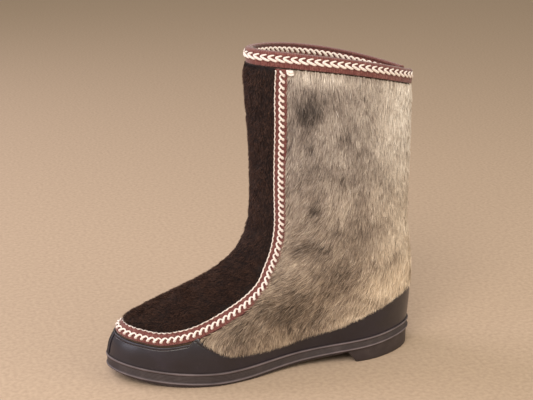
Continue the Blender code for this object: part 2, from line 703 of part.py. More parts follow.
def make_collar_ribbon():
    """The same ribbon folded over the top edge, open at the zip."""
    start = from_zip(np.ones(1), SLOT_WIDTH / 2 + GAP)[0]
    theta = np.linspace(start, 2 * math.pi - start, RIM_COLUMNS)[None, :]
    over = UPPER_WALL + LAY
    full = LAY + RIBBON_THICKNESS
    # lift and drop of the ribbon's outer face and of its inner face, from outside over the edge to inside
    outer_path = np.array([(full, COLLAR_RIBBON_DROP), (full + CHAIN_ROW_RISE, 0.004), (full, -0.0005),
                           (-UPPER_WALL / 2, -full - GAP), (-over - RIBBON_THICKNESS, -0.0005),
                           (-over - RIBBON_THICKNESS - CHAIN_ROW_RISE, 0.004),
                           (-over - RIBBON_THICKNESS, COLLAR_RIBBON_DROP)])
    inner_path = np.array([(LAY, COLLAR_RIBBON_DROP), (LAY, 0.004), (LAY, -LAY), (-UPPER_WALL / 2, -LAY),
                           (-over, -LAY), (-over, 0.004), (-over, COLLAR_RIBBON_DROP)])
    faces = []
    for path in (outer_path, inner_path):
        grid = np.broadcast_to(theta, (len(path), theta.shape[1]))
        up = below_collar(grid, path[:, 1:2])
        edge = skin(grid, np.minimum(up, 1.0), np.broadcast_to(path[:, :1], grid.shape))
        climb = slopes(grid, np.minimum(up, 1.0))[1]
        climb /= np.linalg.norm(climb, axis=-1, keepdims=True)
        faces.append(edge + np.maximum(-path[:, 1], 0)[:, None, None] * climb)
    return add_sheet("collar_ribbon", faces[0], faces[1], material("collar_ribbon_red_brown", "6f4038", 0.85))


def make_zip_tape(name, side):
    """Woven tape beside the zip's chain, sewn to the slot's edge."""
    up = np.linspace(ZIP_FOOT + 0.005, 0.99, 12)
    edges = [from_zip(up, side * d) for d in (SLOT_WIDTH / 2 - GAP, CHAIN_WIDTH / 2 + GAP)]
    theta = np.stack(edges, 1)
    grid = np.broadcast_to(up[:, None], theta.shape)
    outer = skin(theta, grid, np.full(theta.shape, -TAPE_THICKNESS / 2))
    inner = skin(theta, grid, np.full(theta.shape, -TAPE_THICKNESS * 1.5))
    return add_sheet(name, outer, inner, material(name + "_cloth", "2a2220", 0.9))


def above_zip_foot(distance):
    """Place up the form at a distance above the slot's lower end."""
    return ZIP_FOOT + distance / np.linalg.norm(slopes(0.0, ZIP_FOOT)[1])


def make_zip_chain():
    """The closed row of teeth down the middle of the back."""
    up = np.linspace(above_zip_foot(STOP_HEIGHT + 3 * GAP), 0.985, 12)
    theta = from_zip(up, 1.0)[:, None] * (CHAIN_WIDTH / 2 * np.array([-1, 1]))[None, :]
    grid = np.broadcast_to(up[:, None], theta.shape)
    outer = skin(theta, grid, np.full(theta.shape, GAP))
    inner = skin(theta, grid, np.full(theta.shape, -0.002))
    return add_sheet("zip_chain", outer, inner, material("zip_teeth_brass", "5a4c3a", 0.4, 0.9))


def back_frame(up):
    """Place and lean of the zip at a place up the form: a point on it and the angle of the back's slope."""
    point = form(0.0, up)
    climb = slopes(0.0, up)[1]
    return point, math.atan2(climb[0], climb[2])


def seat_on_back(piece, up, lift, rise):
    """Puts a piece, made with -X outwards and +Z up the zip, on the back of the boot."""
    point, lean = back_frame(up)
    piece.location = (point[0] - lift * math.cos(lean) + rise * math.sin(lean), 0.0,
                      point[2] + lift * math.sin(lean) + rise * math.cos(lean))
    piece.rotation_euler = (0.0, lean, 0.0)


def slider_place():
    """Middle of the slider, as a place up the form."""
    return below_collar(np.zeros(1), SLIDER_DROP)[0]


def make_zip_slider():
    """Cast slider at the top of the closed zip: a plate with a bridge that holds the pull."""
    finish = material("slider_antique_brass", "4a4038", 0.35, 1.0)
    half, long = SLIDER_WIDTH / 2, SLIDER_LENGTH / 2
    outline = [(-half * 0.55, -long), (half * 0.55, -long), (half, long * 0.3), (half * 0.8, long),
               (-half * 0.8, long), (-half, long * 0.3)]
    slider = add_prism("zip_slider", outline, -SLIDER_PLATE, 0.0, finish)
    top = SLIDER_PLATE + EYE_HEIGHT + BRIDGE_THICKNESS
    bridge = add_box("bridge_block", (-top, -BRIDGE_WIDTH / 2, -BRIDGE_LENGTH / 2),
                     (-SLIDER_PLATE / 2, BRIDGE_WIDTH / 2, BRIDGE_LENGTH / 2), finish)
    eye = add_box("bridge_eye", (-SLIDER_PLATE - EYE_HEIGHT, -BRIDGE_WIDTH, -EYE_LENGTH / 2),
                  (-SLIDER_PLATE, BRIDGE_WIDTH, EYE_LENGTH / 2), finish)
    use_tool(slider, bridge, "UNION")
    use_tool(slider, eye, "DIFFERENCE")
    for piece in (slider, bridge, eye):
        seat_on_back(piece, slider_place(), 2 * GAP, 0.0)
    return slider


def add_prism(name, outline, low, high, finish):
    """A flat body with an outline of y and z, between two places along x."""
    count = len(outline)
    points = [(x, y, z) for x in (low, high) for y, z in outline]
    faces = [tuple(range(count)), tuple(reversed(range(count, 2 * count)))]
    faces += [((k + 1) % count, k, count + k, count + (k + 1) % count) for k in range(count)]
    return add_piece(name, points, faces, finish, smooth=False)


def make_zip_pull():
    """Leaf-shaped metal pull with a long hole, hanging straight down.

    Its origin is the middle of its bar, which turns in the bridge.
    """
    finish = material("pull_antique_brass", "3c352f", 0.35, 1.0)
    bar = PULL_THICKNESS / 2
    side = [(y * PULL_WIDTH / 2, -z * PULL_LENGTH) for y, z in PULL_ROWS]
    side[0] = (side[0][0], bar)
    outline = side + [(-y, z) for y, z in side[-2::-1]]
    pull = add_prism("zip_pull", outline, -bar, bar, finish)
    clear = BRIDGE_WIDTH / 2 + PULL_CLEARANCE
    window = add_box("pull_window", (-2 * bar, -clear, -PULL_WINDOW), (2 * bar, clear, -bar), finish)
    low, high = (-share * PULL_LENGTH for share in PULL_HOLE)
    rim = PULL_HOLE_WIDTH / 2
    ends = [(low + rim, a) for a in (180, 225, 270, 315, 360)]
    ends += [(high - rim, a) for a in (0, 45, 90, 135, 180)]
    hole_outline = [(rim * math.cos(math.radians(a)), z + rim * math.sin(math.radians(a))) for z, a in ends]
    hole = add_prism("pull_hole", hole_outline, -2 * bar, 2 * bar, finish)
    lift = 2 * GAP + SLIDER_PLATE + EYE_HEIGHT / 2
    for piece in (pull, window, hole):
        seat_on_back(piece, slider_place(), lift, -EYE_LENGTH / 2 + 2 * bar)
        piece.rotation_euler = (0.0, 0.0, 0.0)
    use_tool(pull, window, "DIFFERENCE")
    use_tool(pull, hole, "DIFFERENCE")
    return pull


def make_bottom_stop():
    """Metal clip that closes the zip's lower end."""
    finish = material("stop_antique_brass", "4a4038", 0.4, 1.0)
    stop = add_box("zip_bottom_stop", (-0.0012, -CHAIN_WIDTH * 0.8, -STOP_HEIGHT / 2),
                   (0.0, CHAIN_WIDTH * 0.8, STOP_HEIGHT / 2), finish)
    seat_on_back(stop, above_zip_foot(STOP_HEIGHT / 2 + GAP), GAP / 2, 0.0)
    return stop


def clear_scene():
    """Removes what a new file starts with."""
    for old in list(bpy.data.objects):
        bpy.data.objects.remove(old, do_unlink=True)


def stand_at_origin():
    """Parents all pieces to one empty that puts the middle of the boot's floor area at the origin."""
    bpy.context.view_layer.update()
    corners = []
    for piece in bpy.data.objects:
        if not piece.hide_render:
            corners += [piece.matrix_world @ v.co for v in piece.data.vertices]
    corners = np.array(corners)
    middle = (corners.min(0) + corners.max(0)) / 2
    boot = bpy.data.objects.new("boot", None)
    boot.location = (-middle[0], -middle[1], -corners[:, 2].min())
    bpy.context.collection.objects.link(boot)
    for piece in bpy.data.objects:
        if piece is not boot:
            piece.parent = boot


clear_scene()
make_outsole()
make_insole()
make_upper()
make_rand()
make_toe_seam()
make_side_fur("side_fur_left", mirrored=False)
make_side_fur("side_fur_right", mirrored=True)
make_front_fur()
make_vamp_ribbon()
make_collar_ribbon()
make_zip_tape("zip_tape_left", side=1)
make_zip_tape("zip_tape_right", side=-1)
make_zip_chain()
make_bottom_stop()
make_zip_slider()
make_zip_pull()
stand_at_origin()
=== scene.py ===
"""Looks of a mukluk boot: one seal-fur boot for the left foot, standing on a pale floor.

Metres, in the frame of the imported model: +X to the toe, +Y to the boot's outer side and +Z up.
"""
import json
import math

import bmesh
import bpy
import numpy as np
from mathutils import Matrix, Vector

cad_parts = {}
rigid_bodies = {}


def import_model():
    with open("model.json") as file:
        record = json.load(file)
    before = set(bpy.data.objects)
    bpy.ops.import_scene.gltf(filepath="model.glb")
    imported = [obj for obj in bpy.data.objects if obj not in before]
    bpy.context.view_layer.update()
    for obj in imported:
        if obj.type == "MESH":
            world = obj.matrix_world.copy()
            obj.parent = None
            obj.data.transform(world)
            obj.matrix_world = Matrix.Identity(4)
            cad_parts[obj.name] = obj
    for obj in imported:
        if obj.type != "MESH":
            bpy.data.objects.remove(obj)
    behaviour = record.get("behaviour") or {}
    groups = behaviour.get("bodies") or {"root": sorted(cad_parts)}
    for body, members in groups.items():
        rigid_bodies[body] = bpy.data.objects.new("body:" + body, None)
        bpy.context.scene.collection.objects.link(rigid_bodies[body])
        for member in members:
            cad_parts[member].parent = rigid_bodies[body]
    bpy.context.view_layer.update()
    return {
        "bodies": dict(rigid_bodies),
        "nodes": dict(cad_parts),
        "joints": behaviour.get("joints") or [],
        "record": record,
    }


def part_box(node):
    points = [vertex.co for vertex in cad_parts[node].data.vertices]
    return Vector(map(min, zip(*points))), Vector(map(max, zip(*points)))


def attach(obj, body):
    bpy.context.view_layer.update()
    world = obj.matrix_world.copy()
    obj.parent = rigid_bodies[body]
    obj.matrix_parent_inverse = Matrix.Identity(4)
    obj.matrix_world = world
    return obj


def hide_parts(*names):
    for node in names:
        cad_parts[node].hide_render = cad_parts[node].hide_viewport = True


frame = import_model()

# Camera, floor and lights
# The camera stands about a metre off on the boot's outer side, a little ahead of it, and looks down. The
# floor is plain pale paper board, and four soft boxes light the boot as a photographer's table is lit.
VIEW_YAW = 0.3319
VIEW_PITCH = 0.3004
CAMERA_PLACE = (0.30292, 0.88903, 0.43687)
SENSOR_WIDTH = 36.0
PHOTO_WIDTH = 533
FOCAL_PIXELS = 1150
LIT_PLACE = (0.0, 0.0, 0.12)
FLOOR_REACH = 6


def srgb(code):
    """A web colour of six hex digits as linear red, green, blue and full cover."""
    channels = [int(code[i:i + 2], 16) / 255 for i in (1, 3, 5)]
    return [c / 12.92 if c < 0.04045 else ((c + 0.055) / 1.055)**2.4 for c in channels] + [1.0]


def set_inputs(node, inputs):
    """Sets a node's input sockets, each to a value, or to the socket or the node that feeds it."""
    for key, value in inputs.items():
        if isinstance(value, bpy.types.Node):
            value = next(socket for socket in value.outputs if socket.enabled)
        if isinstance(value, bpy.types.NodeSocket):
            node.id_data.links.new(value, node.inputs[key])
        else:
            node.inputs[key].default_value = value


def add_node(tree, kind, inputs=None, stops=None, **settings):
    """Adds a node with its properties, its inputs' values or feeding sockets, and a ramp's stops."""
    made = tree.nodes.new("ShaderNode" + kind)
    for key, value in settings.items():
        setattr(made, key, value)
    set_inputs(made, inputs or {})
    for k, (place, code) in enumerate(stops or []):
        stop = made.color_ramp.elements[k] if k < 2 else made.color_ramp.elements.new(place)
        stop.position = place
        stop.color = srgb(code)
    return made


def new_finish(name, values):
    """A material with the shader's own values, and its tree and shader for the nodes that feed it."""
    made = bpy.data.materials.new(name)
    made.use_nodes = True
    shader = made.node_tree.nodes["Principled BSDF"]
    set_inputs(shader, values)
    return made, made.node_tree, shader


def unit(vectors):
    """The same vectors with a length of one."""
    return vectors / np.linalg.norm(vectors, axis=-1, keepdims=True)


def set_up(data, place, right_hand, back):
    """Adds a camera or a light at a place, by its right hand and the direction behind it."""
    made = bpy.data.objects.new(data.name, data)
    turn = Matrix(np.stack([right_hand, np.cross(back, right_hand), back], 1).tolist()).to_4x4()
    made.matrix_world = Matrix.Translation(place) @ turn
    bpy.context.collection.objects.link(made)
    return made


backward = np.array([math.sin(VIEW_YAW) * math.cos(VIEW_PITCH), math.cos(VIEW_YAW) * math.cos(VIEW_PITCH),
                     math.sin(VIEW_PITCH)])
camera_data = bpy.data.cameras.new("camera")
camera_data.sensor_width = SENSOR_WIDTH
camera_data.lens = SENSOR_WIDTH * FOCAL_PIXELS / PHOTO_WIDTH
right_hand = np.array([-math.cos(VIEW_YAW), math.sin(VIEW_YAW), 0.0])
bpy.context.scene.camera = set_up(camera_data, CAMERA_PLACE, right_hand, backward)


def soft_box(name, place, size, power, code):
    """A square area light that faces the middle of the boot."""
    data = bpy.data.lights.new(name, "AREA")
    data.size = size
    data.energy = power
    data.color = srgb(code)[:3]
    back = unit(np.subtract(place, LIT_PLACE))
    set_up(data, place, unit(np.cross([0.0, 0.0, 1.0], back)), back)


soft_box("key_light", (0.75, 1.15, 1.35), 1.0, 26.0, "#fff6ea")
soft_box("fill_light", (-1.3, 0.9, 0.9), 1.4, 11.0, "#fff3e2")
soft_box("back_light", (1.05, -0.95, 1.25), 1.1, 15.0, "#f6effa")
soft_box("toe_light", (1.50, 0.45, 0.55), 0.6, 6.0, "#efeeff")
world = bpy.data.worlds.new("studio_air")
world.use_nodes = True
world.node_tree.nodes["Background"].inputs["Color"].default_value = srgb("#f2ead9")
world.node_tree.nodes["Background"].inputs["Strength"].default_value = 0.55
bpy.context.scene.world = world
bpy.context.scene.view_settings.view_transform = "Standard"

floor_mesh = bpy.data.meshes.new("floor")
floor_corners = [(x * FLOOR_REACH, y * FLOOR_REACH, 0) for x, y in ((-1, -1), (1, -1), (1, 1), (-1, 1))]
floor_mesh.from_pydata(floor_corners, [], [(0, 1, 2, 3)])
floor = bpy.data.objects.new("floor", floor_mesh)
bpy.context.collection.objects.link(floor)
# Matt paper board: even, pale and dull, with a trace of pulp in it
paper, tree, shader = new_finish("paper_board", {"Roughness": 0.9, "Specular IOR Level": 0.25})
place = add_node(tree, "TexCoord").outputs["Object"]
pulp = add_node(tree, "TexNoise", {"Vector": place, "Scale": 260.0, "Detail": 4.0})
tint = add_node(tree, "ValToRGB", {"Fac": pulp}, [(0.3, "#b09a86"), (0.7, "#c0aa94")])
set_inputs(shader, {"Base Color": tint})
floor_mesh.materials.append(paper)

# Outsole
# A unit sole moulded in brown rubber: two beads and a fine-ribbed band run round its side, the low heel and
# the forefoot stand on the floor, and the toe springs up. The upper is cemented on its top face.
LENGTH = 0.278
BALL_WIDTH = 0.090
HEEL_WIDTH = 0.064
INSTEP_HEIGHT = 0.084
COLLAR_HEIGHT = 0.2625
SHAFT_DEPTH = 0.1445
SHAFT_WIDTH = 0.080
COLLAR_BOW = 0.005
TOE_SWING = 0.009
HEEL_HEIGHT = 0.025
FOREFOOT_SOLE = 0.013
TOE_SPRING = 0.010
ARCH_HEIGHT = 0.010
HEEL_LENGTH = 0.064
BREAST_SLANT = 0.008
SOLE_OVERHANG = 0.0028
SIDE_STEP = 0.0009
BAND_HEIGHT = 0.0076
BAND_SPREAD = 0.20
GROOVE_WIDTH = 0.0040
GROOVE_DEPTH = 0.0018
GROOVE_SLOPE = 0.0003
GROOVE_PITCH = 0.0105
GROOVE_MARGIN = 0.0100
GAP = 0.0003
FOREFOOT_FLAT = (0.56, 0.74)
WELD_REACH = 2e-6
# Sections of the foot and of the shaft, as in the CAD model: back, rise, front or depth, rise, dip, bow, then
# half widths at heel, waist, ball and toe, and the swing of the toe. All are shares of the sizes above.
FOOT_ROWS = np.array([
    (0.013, 0.000, 0.985, 0.000, 1.00, 0.0, 0.720, 0.320, 0.533, 0.555, 1.0),
    (0.009, 0.170, 0.972, 0.170, 1.00, 0.0, 0.735, 0.345, 0.533, 0.555, 1.0),
    (0.007, 0.325, 0.936, 0.330, 0.95, 0.0, 0.735, 0.365, 0.510, 0.533, 0.9),
    (0.009, 0.490, 0.820, 0.540, 0.80, 0.0, 0.720, 0.390, 0.467, 0.467, 0.7),
    (0.013, 0.690, 0.673, 0.760, 0.60, 0.0, 0.700, 0.410, 0.433, 0.410, 0.5),
    (0.022, 0.920, 0.576, 1.000, 0.35, 0.0, 0.670, 0.420, 0.422, 0.390, 0.3),
])
SHAFT_ROWS = np.array([
    (0.032, 0.100, 0.958, 0.153, 0.15, 0.0, 0.510, 0.480, 0.475, 0.450, 0.1),
    (0.034, 0.275, 0.938, 0.370, 0.05, 0.0, 0.510, 0.500, 0.490, 0.460, 0.05),
    (0.032, 0.466, 0.952, 0.600, 0.00, 0.2, 0.505, 0.510, 0.500, 0.475, 0.0),
    (0.031, 0.640, 0.976, 0.815, 0.00, 0.6, 0.490, 0.500, 0.495, 0.460, 0.0),
    (0.025, 0.796, 1.000, 1.000, 0.00, 1.0, 0.465, 0.475, 0.475, 0.450, 0.0),
])
WIDTH_PLACES = np.array([0.0, 0.14, 0.42, 0.72, 0.90, 1.0])
SOLE_TOP_ROWS = np.array([
    (0.000, 1.00, 0.00, 0.00),
    (0.126, 0.94, 0.00, 0.00),
    (0.270, 0.78, 0.08, 0.00),
    (0.432, 0.32, 0.58, 0.00),
    (0.594, 0.00, 1.00, 0.00),
    (0.737, 0.00, 1.00, 0.00),
    (0.881, 0.00, 1.00, 0.30),
    (1.000, 0.00, 1.00, 0.80),
])
pull_low, pull_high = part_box("zip_pull")
# Where the form's own zero, at the back of the heel on the floor, stands in the frame
FORM_PLACE = np.array([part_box("outsole")[0].x + SOLE_OVERHANG + SIDE_STEP - FOOT_ROWS[0, 0] * LENGTH,
                       (pull_low.y + pull_high.y) / 2, 0.0])


def curve_through(x, knots, values):
    """Catmull-Rom curve through rows of values at the knots, read at x: a cubic between each two knots."""
    slope = np.gradient(values, knots, axis=0)
    i = np.clip(np.searchsorted(knots, x) - 1, 0, len(knots) - 2)
    step = knots[i + 1] - knots[i]
    q = (x - knots[i]) / step
    if values.ndim > 1:
        q = q[..., None]
        step = step[..., None]
    start = (2 * q**3 - 3 * q**2 + 1) * values[i] + (q**3 - 2 * q**2 + q) * step * slope[i]
    end = (3 * q**2 - 2 * q**3) * values[i + 1] + (q**3 - q**2) * step * slope[i + 1]
    return start + end


climb = COLLAR_HEIGHT - INSTEP_HEIGHT
foot_sizes = FOOT_ROWS * [LENGTH, INSTEP_HEIGHT, LENGTH, INSTEP_HEIGHT, 1, COLLAR_BOW,
                          HEEL_WIDTH, BALL_WIDTH, BALL_WIDTH, BALL_WIDTH, TOE_SWING]
shaft_sizes = SHAFT_ROWS * [LENGTH, climb, SHAFT_DEPTH, climb, 1, COLLAR_BOW,
                            SHAFT_WIDTH, SHAFT_WIDTH, SHAFT_WIDTH, SHAFT_WIDTH, TOE_SWING]
shaft_sizes[:, 2] += shaft_sizes[:, 0]
shaft_sizes[:, [1, 3]] += INSTEP_HEIGHT
ROWS = np.vstack([foot_sizes, shaft_sizes])


def sole_top(x):
    """Height of the sole's top edge at x, measured from the back of the heel."""
    heights = SOLE_TOP_ROWS[:, 1:] @ [HEEL_HEIGHT, FOREFOOT_SOLE, TOE_SPRING]
    return curve_through(np.clip(x, 0, LENGTH), SOLE_TOP_ROWS[:, 0] * LENGTH, heights)


def width_at(t, widths):
    """Half width at the share t of a section, by a cubic through its own row of widths."""
    slope = np.gradient(widths, WIDTH_PLACES, axis=-1)
    i = np.clip(np.searchsorted(WIDTH_PLACES, t) - 1, 0, len(WIDTH_PLACES) - 2)
    step = WIDTH_PLACES[i + 1] - WIDTH_PLACES[i]
    q = (t - WIDTH_PLACES[i]) / step
    here = np.take_along_axis(widths, i[..., None], -1)[..., 0]
    ahead = np.take_along_axis(widths, i[..., None] + 1, -1)[..., 0]
    slope_here = np.take_along_axis(slope, i[..., None], -1)[..., 0]
    slope_ahead = np.take_along_axis(slope, i[..., None] + 1, -1)[..., 0]
    start = (2 * q**3 - 3 * q**2 + 1) * here + (q**3 - 2 * q**2 + q) * step * slope_here
    return start + (3 * q**2 - 2 * q**3) * ahead + (q**3 - q**2) * step * slope_ahead


def form(theta, up):
    """Outer face of the upper: a loop round the foot for each place up, 0 at the sole and 1 at the collar.

    theta is 0 at the heel and grows over the outer side to pi at the toe. x goes from back to front by the
    cosine, y is the half width times the sine, and z follows the sole's top edge by the section's dip.
    """
    theta, up = np.broadcast_arrays(np.asarray(theta, float), np.asarray(up, float))
    row = curve_through(up, np.linspace(0, 1, len(ROWS)), ROWS)
    back, back_rise, front, front_rise, dip, bow, heel, waist, ball, toe, swing = np.moveaxis(row, -1, 0)
    t = (1 - np.cos(theta)) / 2
    x = back + (front - back) * t
    chord = sole_top(back) * (1 - t) + sole_top(front) * t
    z = dip * sole_top(x) + (1 - dip) * chord + back_rise * (1 - t) + front_rise * t
    z = z + bow * 4 * t * (1 - t) + GAP
    widths = np.moveaxis(np.stack([heel, heel, waist, ball, toe, toe]), 0, -1)
    y = np.sin(theta) * width_at(t, widths) - swing * np.clip((t - 0.45) / 0.55, 0, 1)**1.6
    return np.stack([x, y, z], -1) + FORM_PLACE


def slopes(theta, up, step=1e-4):
    """How the form moves with its angle and with its place up."""
    round_it = (form(theta + step, up) - form(theta - step, up)) / (2 * step)
    up_it = (form(theta, up + step) - form(theta, up - step)) / (2 * step)
    return round_it, up_it


def tread_height(x):
    """Height of the sole's underside at x: flat heel, arch, flat forefoot and toe spring."""
    flat_start, flat_end = FOREFOOT_FLAT[0] * LENGTH, FOREFOOT_FLAT[1] * LENGTH
    arch = np.clip((flat_start - x) / (flat_start - HEEL_LENGTH - BREAST_SLANT), 0, 1)
    spring = np.clip((x - flat_end) / (LENGTH - flat_end), 0, 1)
    height = ARCH_HEIGHT * arch**1.3 + TOE_SPRING * spring**2
    return np.where(x < HEEL_LENGTH + BREAST_SLANT / 2, 0.0, height)


def angle_at(x):
    """Angle round the feather line where it reaches x, measured from the back of the heel."""
    back, front = FOOT_ROWS[0, 0] * LENGTH, FOOT_ROWS[0, 2] * LENGTH
    return np.arccos(np.clip(1 - 2 * (x - back) / (front - back), -1, 1))


def plan_line(theta, offset):
    """The feather line seen from above, and the same line moved outwards, from the form's own zero."""
    line = form(theta, 0.0) - FORM_PLACE
    run = slopes(theta, np.zeros_like(theta))[0]
    across = unit(np.stack([run[:, 1], -run[:, 0], np.zeros(len(run))], -1))
    return line, line - np.multiply.outer(offset, across)


def weld(mesh, reach, clear=False):
    """Joins points within reach of each other, and turns the faces outwards or clears those of no size."""
    work = bmesh.new()
    work.from_mesh(mesh)
    bmesh.ops.remove_doubles(work, verts=work.verts, dist=reach)
    if clear:
        bmesh.ops.dissolve_degenerate(work, edges=work.edges, dist=1e-7)
    else:
        bmesh.ops.recalc_face_normals(work, faces=work.faces)
    work.to_mesh(mesh)
    work.free()


def add_mesh(name, points, faces, finish):
    """A smooth mesh from an array of points and one or more arrays of face corners, turned outwards.

    Its volume, summed over the fans of its faces, has to be above zero.
    """
    faces = faces if isinstance(faces, list) else [faces]
    points = points.reshape(-1, 3)
    used = np.zeros(len(points), bool)
    for group in faces:
        used[group.ravel()] = True
    number = np.cumsum(used) - 1
    points = points[used]
    faces = [number[group] for group in faces]
    volume = 0.0
    for group in faces:
        for k in range(1, group.shape[1] - 1):
            corner = points[group[:, 0]]
            volume += np.einsum("ij,ij->", corner, np.cross(points[group[:, k]], points[group[:, k + 1]]))
    if volume < 0:
        faces = [group[:, ::-1] for group in faces]
    sizes = np.concatenate([np.full(len(group), group.shape[1]) for group in faces])
    corners = np.concatenate([group.ravel() for group in faces])
    mesh = bpy.data.meshes.new(name)
    mesh.vertices.add(len(points))
    mesh.vertices.foreach_set("co", points.astype(np.float32).ravel())
    mesh.loops.add(len(corners))
    mesh.loops.foreach_set("vertex_index", corners.astype(np.int32))
    mesh.polygons.add(len(sizes))
    mesh.polygons.foreach_set("loop_start", np.concatenate([[0], np.cumsum(sizes)[:-1]]).astype(np.int32))
    mesh.update(calc_edges=True)
    mesh.validate()
    mesh.materials.append(finish)
    mesh.shade_smooth()
    piece = bpy.data.objects.new(name, mesh)
    bpy.context.collection.objects.link(piece)
    return piece


def store(piece, name, values):
    """Keeps a number at each point of a piece, for its material to read."""
    made = piece.data.attributes.new(name, "FLOAT", "POINT")
    made.data.foreach_set("value", np.asarray(values, np.float32).ravel())


def ring_faces(rows, columns):
    """Quads of rows of points, each row a closed ring."""
    number = np.arange(rows * columns).reshape(rows, columns)
    ahead = np.roll(number, -1, 1)
    return np.stack([number[:-1], ahead[:-1], ahead[1:], number[1:]], -1).reshape(-1, 4)


flat_start, flat_end = FOREFOOT_FLAT[0] * LENGTH, FOREFOOT_FLAT[1] * LENGTH
groove_spans = [(GROOVE_MARGIN, HEEL_LENGTH - GROOVE_MARGIN), (flat_start, flat_end)]
groove_places = []
for start, end in groove_spans:
    count = int((end - start) / GROOVE_PITCH)
    groove_places += [(start + end) / 2 + (k - (count - 1) / 2) * GROOVE_PITCH for k in range(count)]
groove_places = np.array(groove_places)
half_groove = GROOVE_WIDTH / 2
walls = np.array([-half_groove, -half_groove + GROOVE_SLOPE, half_groove - GROOVE_SLOPE, half_groove])
fixed = np.concatenate([[HEEL_LENGTH, HEEL_LENGTH + BREAST_SLANT], (groove_places[:, None] + walls).ravel()])
stations = np.linspace(0, math.pi, 241)
clear = np.abs(stations[:, None] - angle_at(fixed)[None, :]).min(1) > math.radians(0.3)
clear &= (stations < angle_at(HEEL_LENGTH)) | (stations > angle_at(HEEL_LENGTH + BREAST_SLANT))
stations = np.sort(np.concatenate([stations[clear], angle_at(fixed)]))
# Profile of the sole's side from the top edge down: drop as a share of the band's height, proud as a share of
# the step. Each bead is half an ellipse, and the band between them has five fine ribs.
drop = np.concatenate([np.linspace(0, 0.24, 9), np.linspace(0.27, 0.93, 26), np.linspace(0.95, 1.2, 10)])
upper_bead = np.sqrt(np.clip(1 - ((drop - 0.115) / 0.115)**2, 0, 1))
lower_bead = np.sqrt(np.clip(1 - ((drop - 1.06) / 0.10)**2, 0, 1))
in_band = (drop > 0.26) & (drop < 0.94)
rib = np.where(in_band, 0.16 * np.cos((drop - 0.27) / 0.66 * 2 * math.pi * 5) - 0.16, 0.0)
proud = 0.95 * (upper_bead + lower_bead) + rib - 0.9 * np.clip((drop - 1.12) / 0.08, 0, 1)


def sole_side(angles):
    """The feather line on one side of the sole, and each station's profile from top edge to tread."""
    feather, line = plan_line(angles, SOLE_OVERHANG + proud * SIDE_STEP)
    fore = np.clip((line[..., 0] / LENGTH - 0.3) / 0.3, 0, 1)
    line[..., 2] = sole_top(line[..., 0]) - drop[:, None] * BAND_HEIGHT * (1 + BAND_SPREAD * fore)
    lowest = line[-1, :, 2]
    foot = tread_height(feather[:, 0])
    share = np.array([0.25, 0.5, 0.75, 1.0])[:, None]
    below = plan_line(angles, SOLE_OVERHANG - SIDE_STEP * np.array([0.92, 0.95, 1.0, 1.05, 1.35, 2.0]))[1]
    below[:4, :, 2] = lowest + (foot + SIDE_STEP - lowest) * share
    below[4, :, 2] = foot + SIDE_STEP * 0.35
    below[5, :, 2] = foot
    return feather, np.concatenate([line, below]).transpose(1, 0, 2)


base, outer_side = sole_side(stations)
base_in, inner_side = sole_side(2 * math.pi - stations)
share = np.linspace(0, 1, 51)[None, 1:-1, None]
tread = outer_side[:, -1:] * (1 - share) + inner_side[:, -1:] * share
near_edge = np.minimum(base[:, None, 1] - tread[..., 1], tread[..., 1] - base_in[:, None, 1])
in_groove = (np.abs(base[:, None, 0] - groove_places).min(1) < GROOVE_WIDTH / 2 - 0.0001)[:, None]
tread[..., 2] += np.where(in_groove, GROOVE_DEPTH * np.clip((near_edge - GROOVE_MARGIN) / 0.0006, 0, 1), 0.0)
lid_share = np.linspace(0, 1, 9)[None, 1:-1, None]
lid = inner_side[:, :1] * (1 - lid_share) + outer_side[:, :1] * lid_share
sole_points = np.concatenate([outer_side, tread, inner_side[:, ::-1], lid], 1) + FORM_PLACE
# The beads' proud share, kept for the rubber to paint paler: partly wear, partly painted highlight
side_wear_and_highlight = np.concatenate([np.clip(proud, 0, 1), np.zeros(6)])
bead_wear_and_highlight = np.concatenate([side_wear_and_highlight, np.zeros(tread.shape[1]), side_wear_and_highlight[::-1], np.zeros(lid.shape[1])])

# Moulded rubber, brown with a violet cast: dull, with dust in its grain, and its beads painted paler on their
# proud tops, partly as finger-worn rubber and partly as painted highlight. The mould's spark-eroded grain is
# about 0.3 mm, drawn at 0.7 mm so that it shows.
rubber, tree, shader = new_finish("moulded_rubber", {"IOR": 1.52, "Specular IOR Level": 0.45})
place = add_node(tree, "TexCoord").outputs["Object"]
dust = add_node(tree, "TexNoise", {"Vector": place, "Scale": 90.0, "Detail": 5.0, "Roughness": 0.65})
body_tone = add_node(tree, "ValToRGB", {"Fac": dust},
                     [(0.30, "#30272a"), (0.55, "#3b3233"), (0.75, "#4a4041")])
wear_and_highlight = add_node(tree, "Attribute", attribute_name="bead_wear_and_highlight")
rubbed = add_node(tree, "TexNoise", {"Vector": place, "Scale": 45.0, "Detail": 3.0})
wear_and_highlight_share = add_node(tree, "Math", {0: wear_and_highlight.outputs["Fac"], 1: rubbed}, operation="MULTIPLY")
# Beads painted paler where they stand proud: worn rubber and painted highlight
bead_tone_and_highlight = add_node(tree, "Mix", {"Factor": wear_and_highlight_share, "A": body_tone,
                                   "B": srgb("#8c7f84")}, data_type="RGBA")
grain = add_node(tree, "TexNoise", {"Vector": place, "Scale": 1400.0, "Detail": 2.0})
press = add_node(tree, "Bump", {"Height": grain, "Strength": 0.25, "Distance": 0.0003})
gloss = add_node(tree, "MapRange", {"Value": dust, "To Min": 0.42, "To Max": 0.66})
set_inputs(shader, {"Base Color": bead_tone_and_highlight, "Roughness": gloss, "Normal": press})

outsole = add_mesh("sole_rubber", sole_points, ring_faces(*sole_points.shape[:2]), rubber)
store(outsole, "bead_wear_and_highlight", np.broadcast_to(bead_wear_and_highlight, sole_points.shape[:2]))
weld(outsole.data, WELD_REACH)
outsole.data.set_sharp_from_angle(angle=math.radians(50))
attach(outsole, "boot")
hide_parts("outsole")

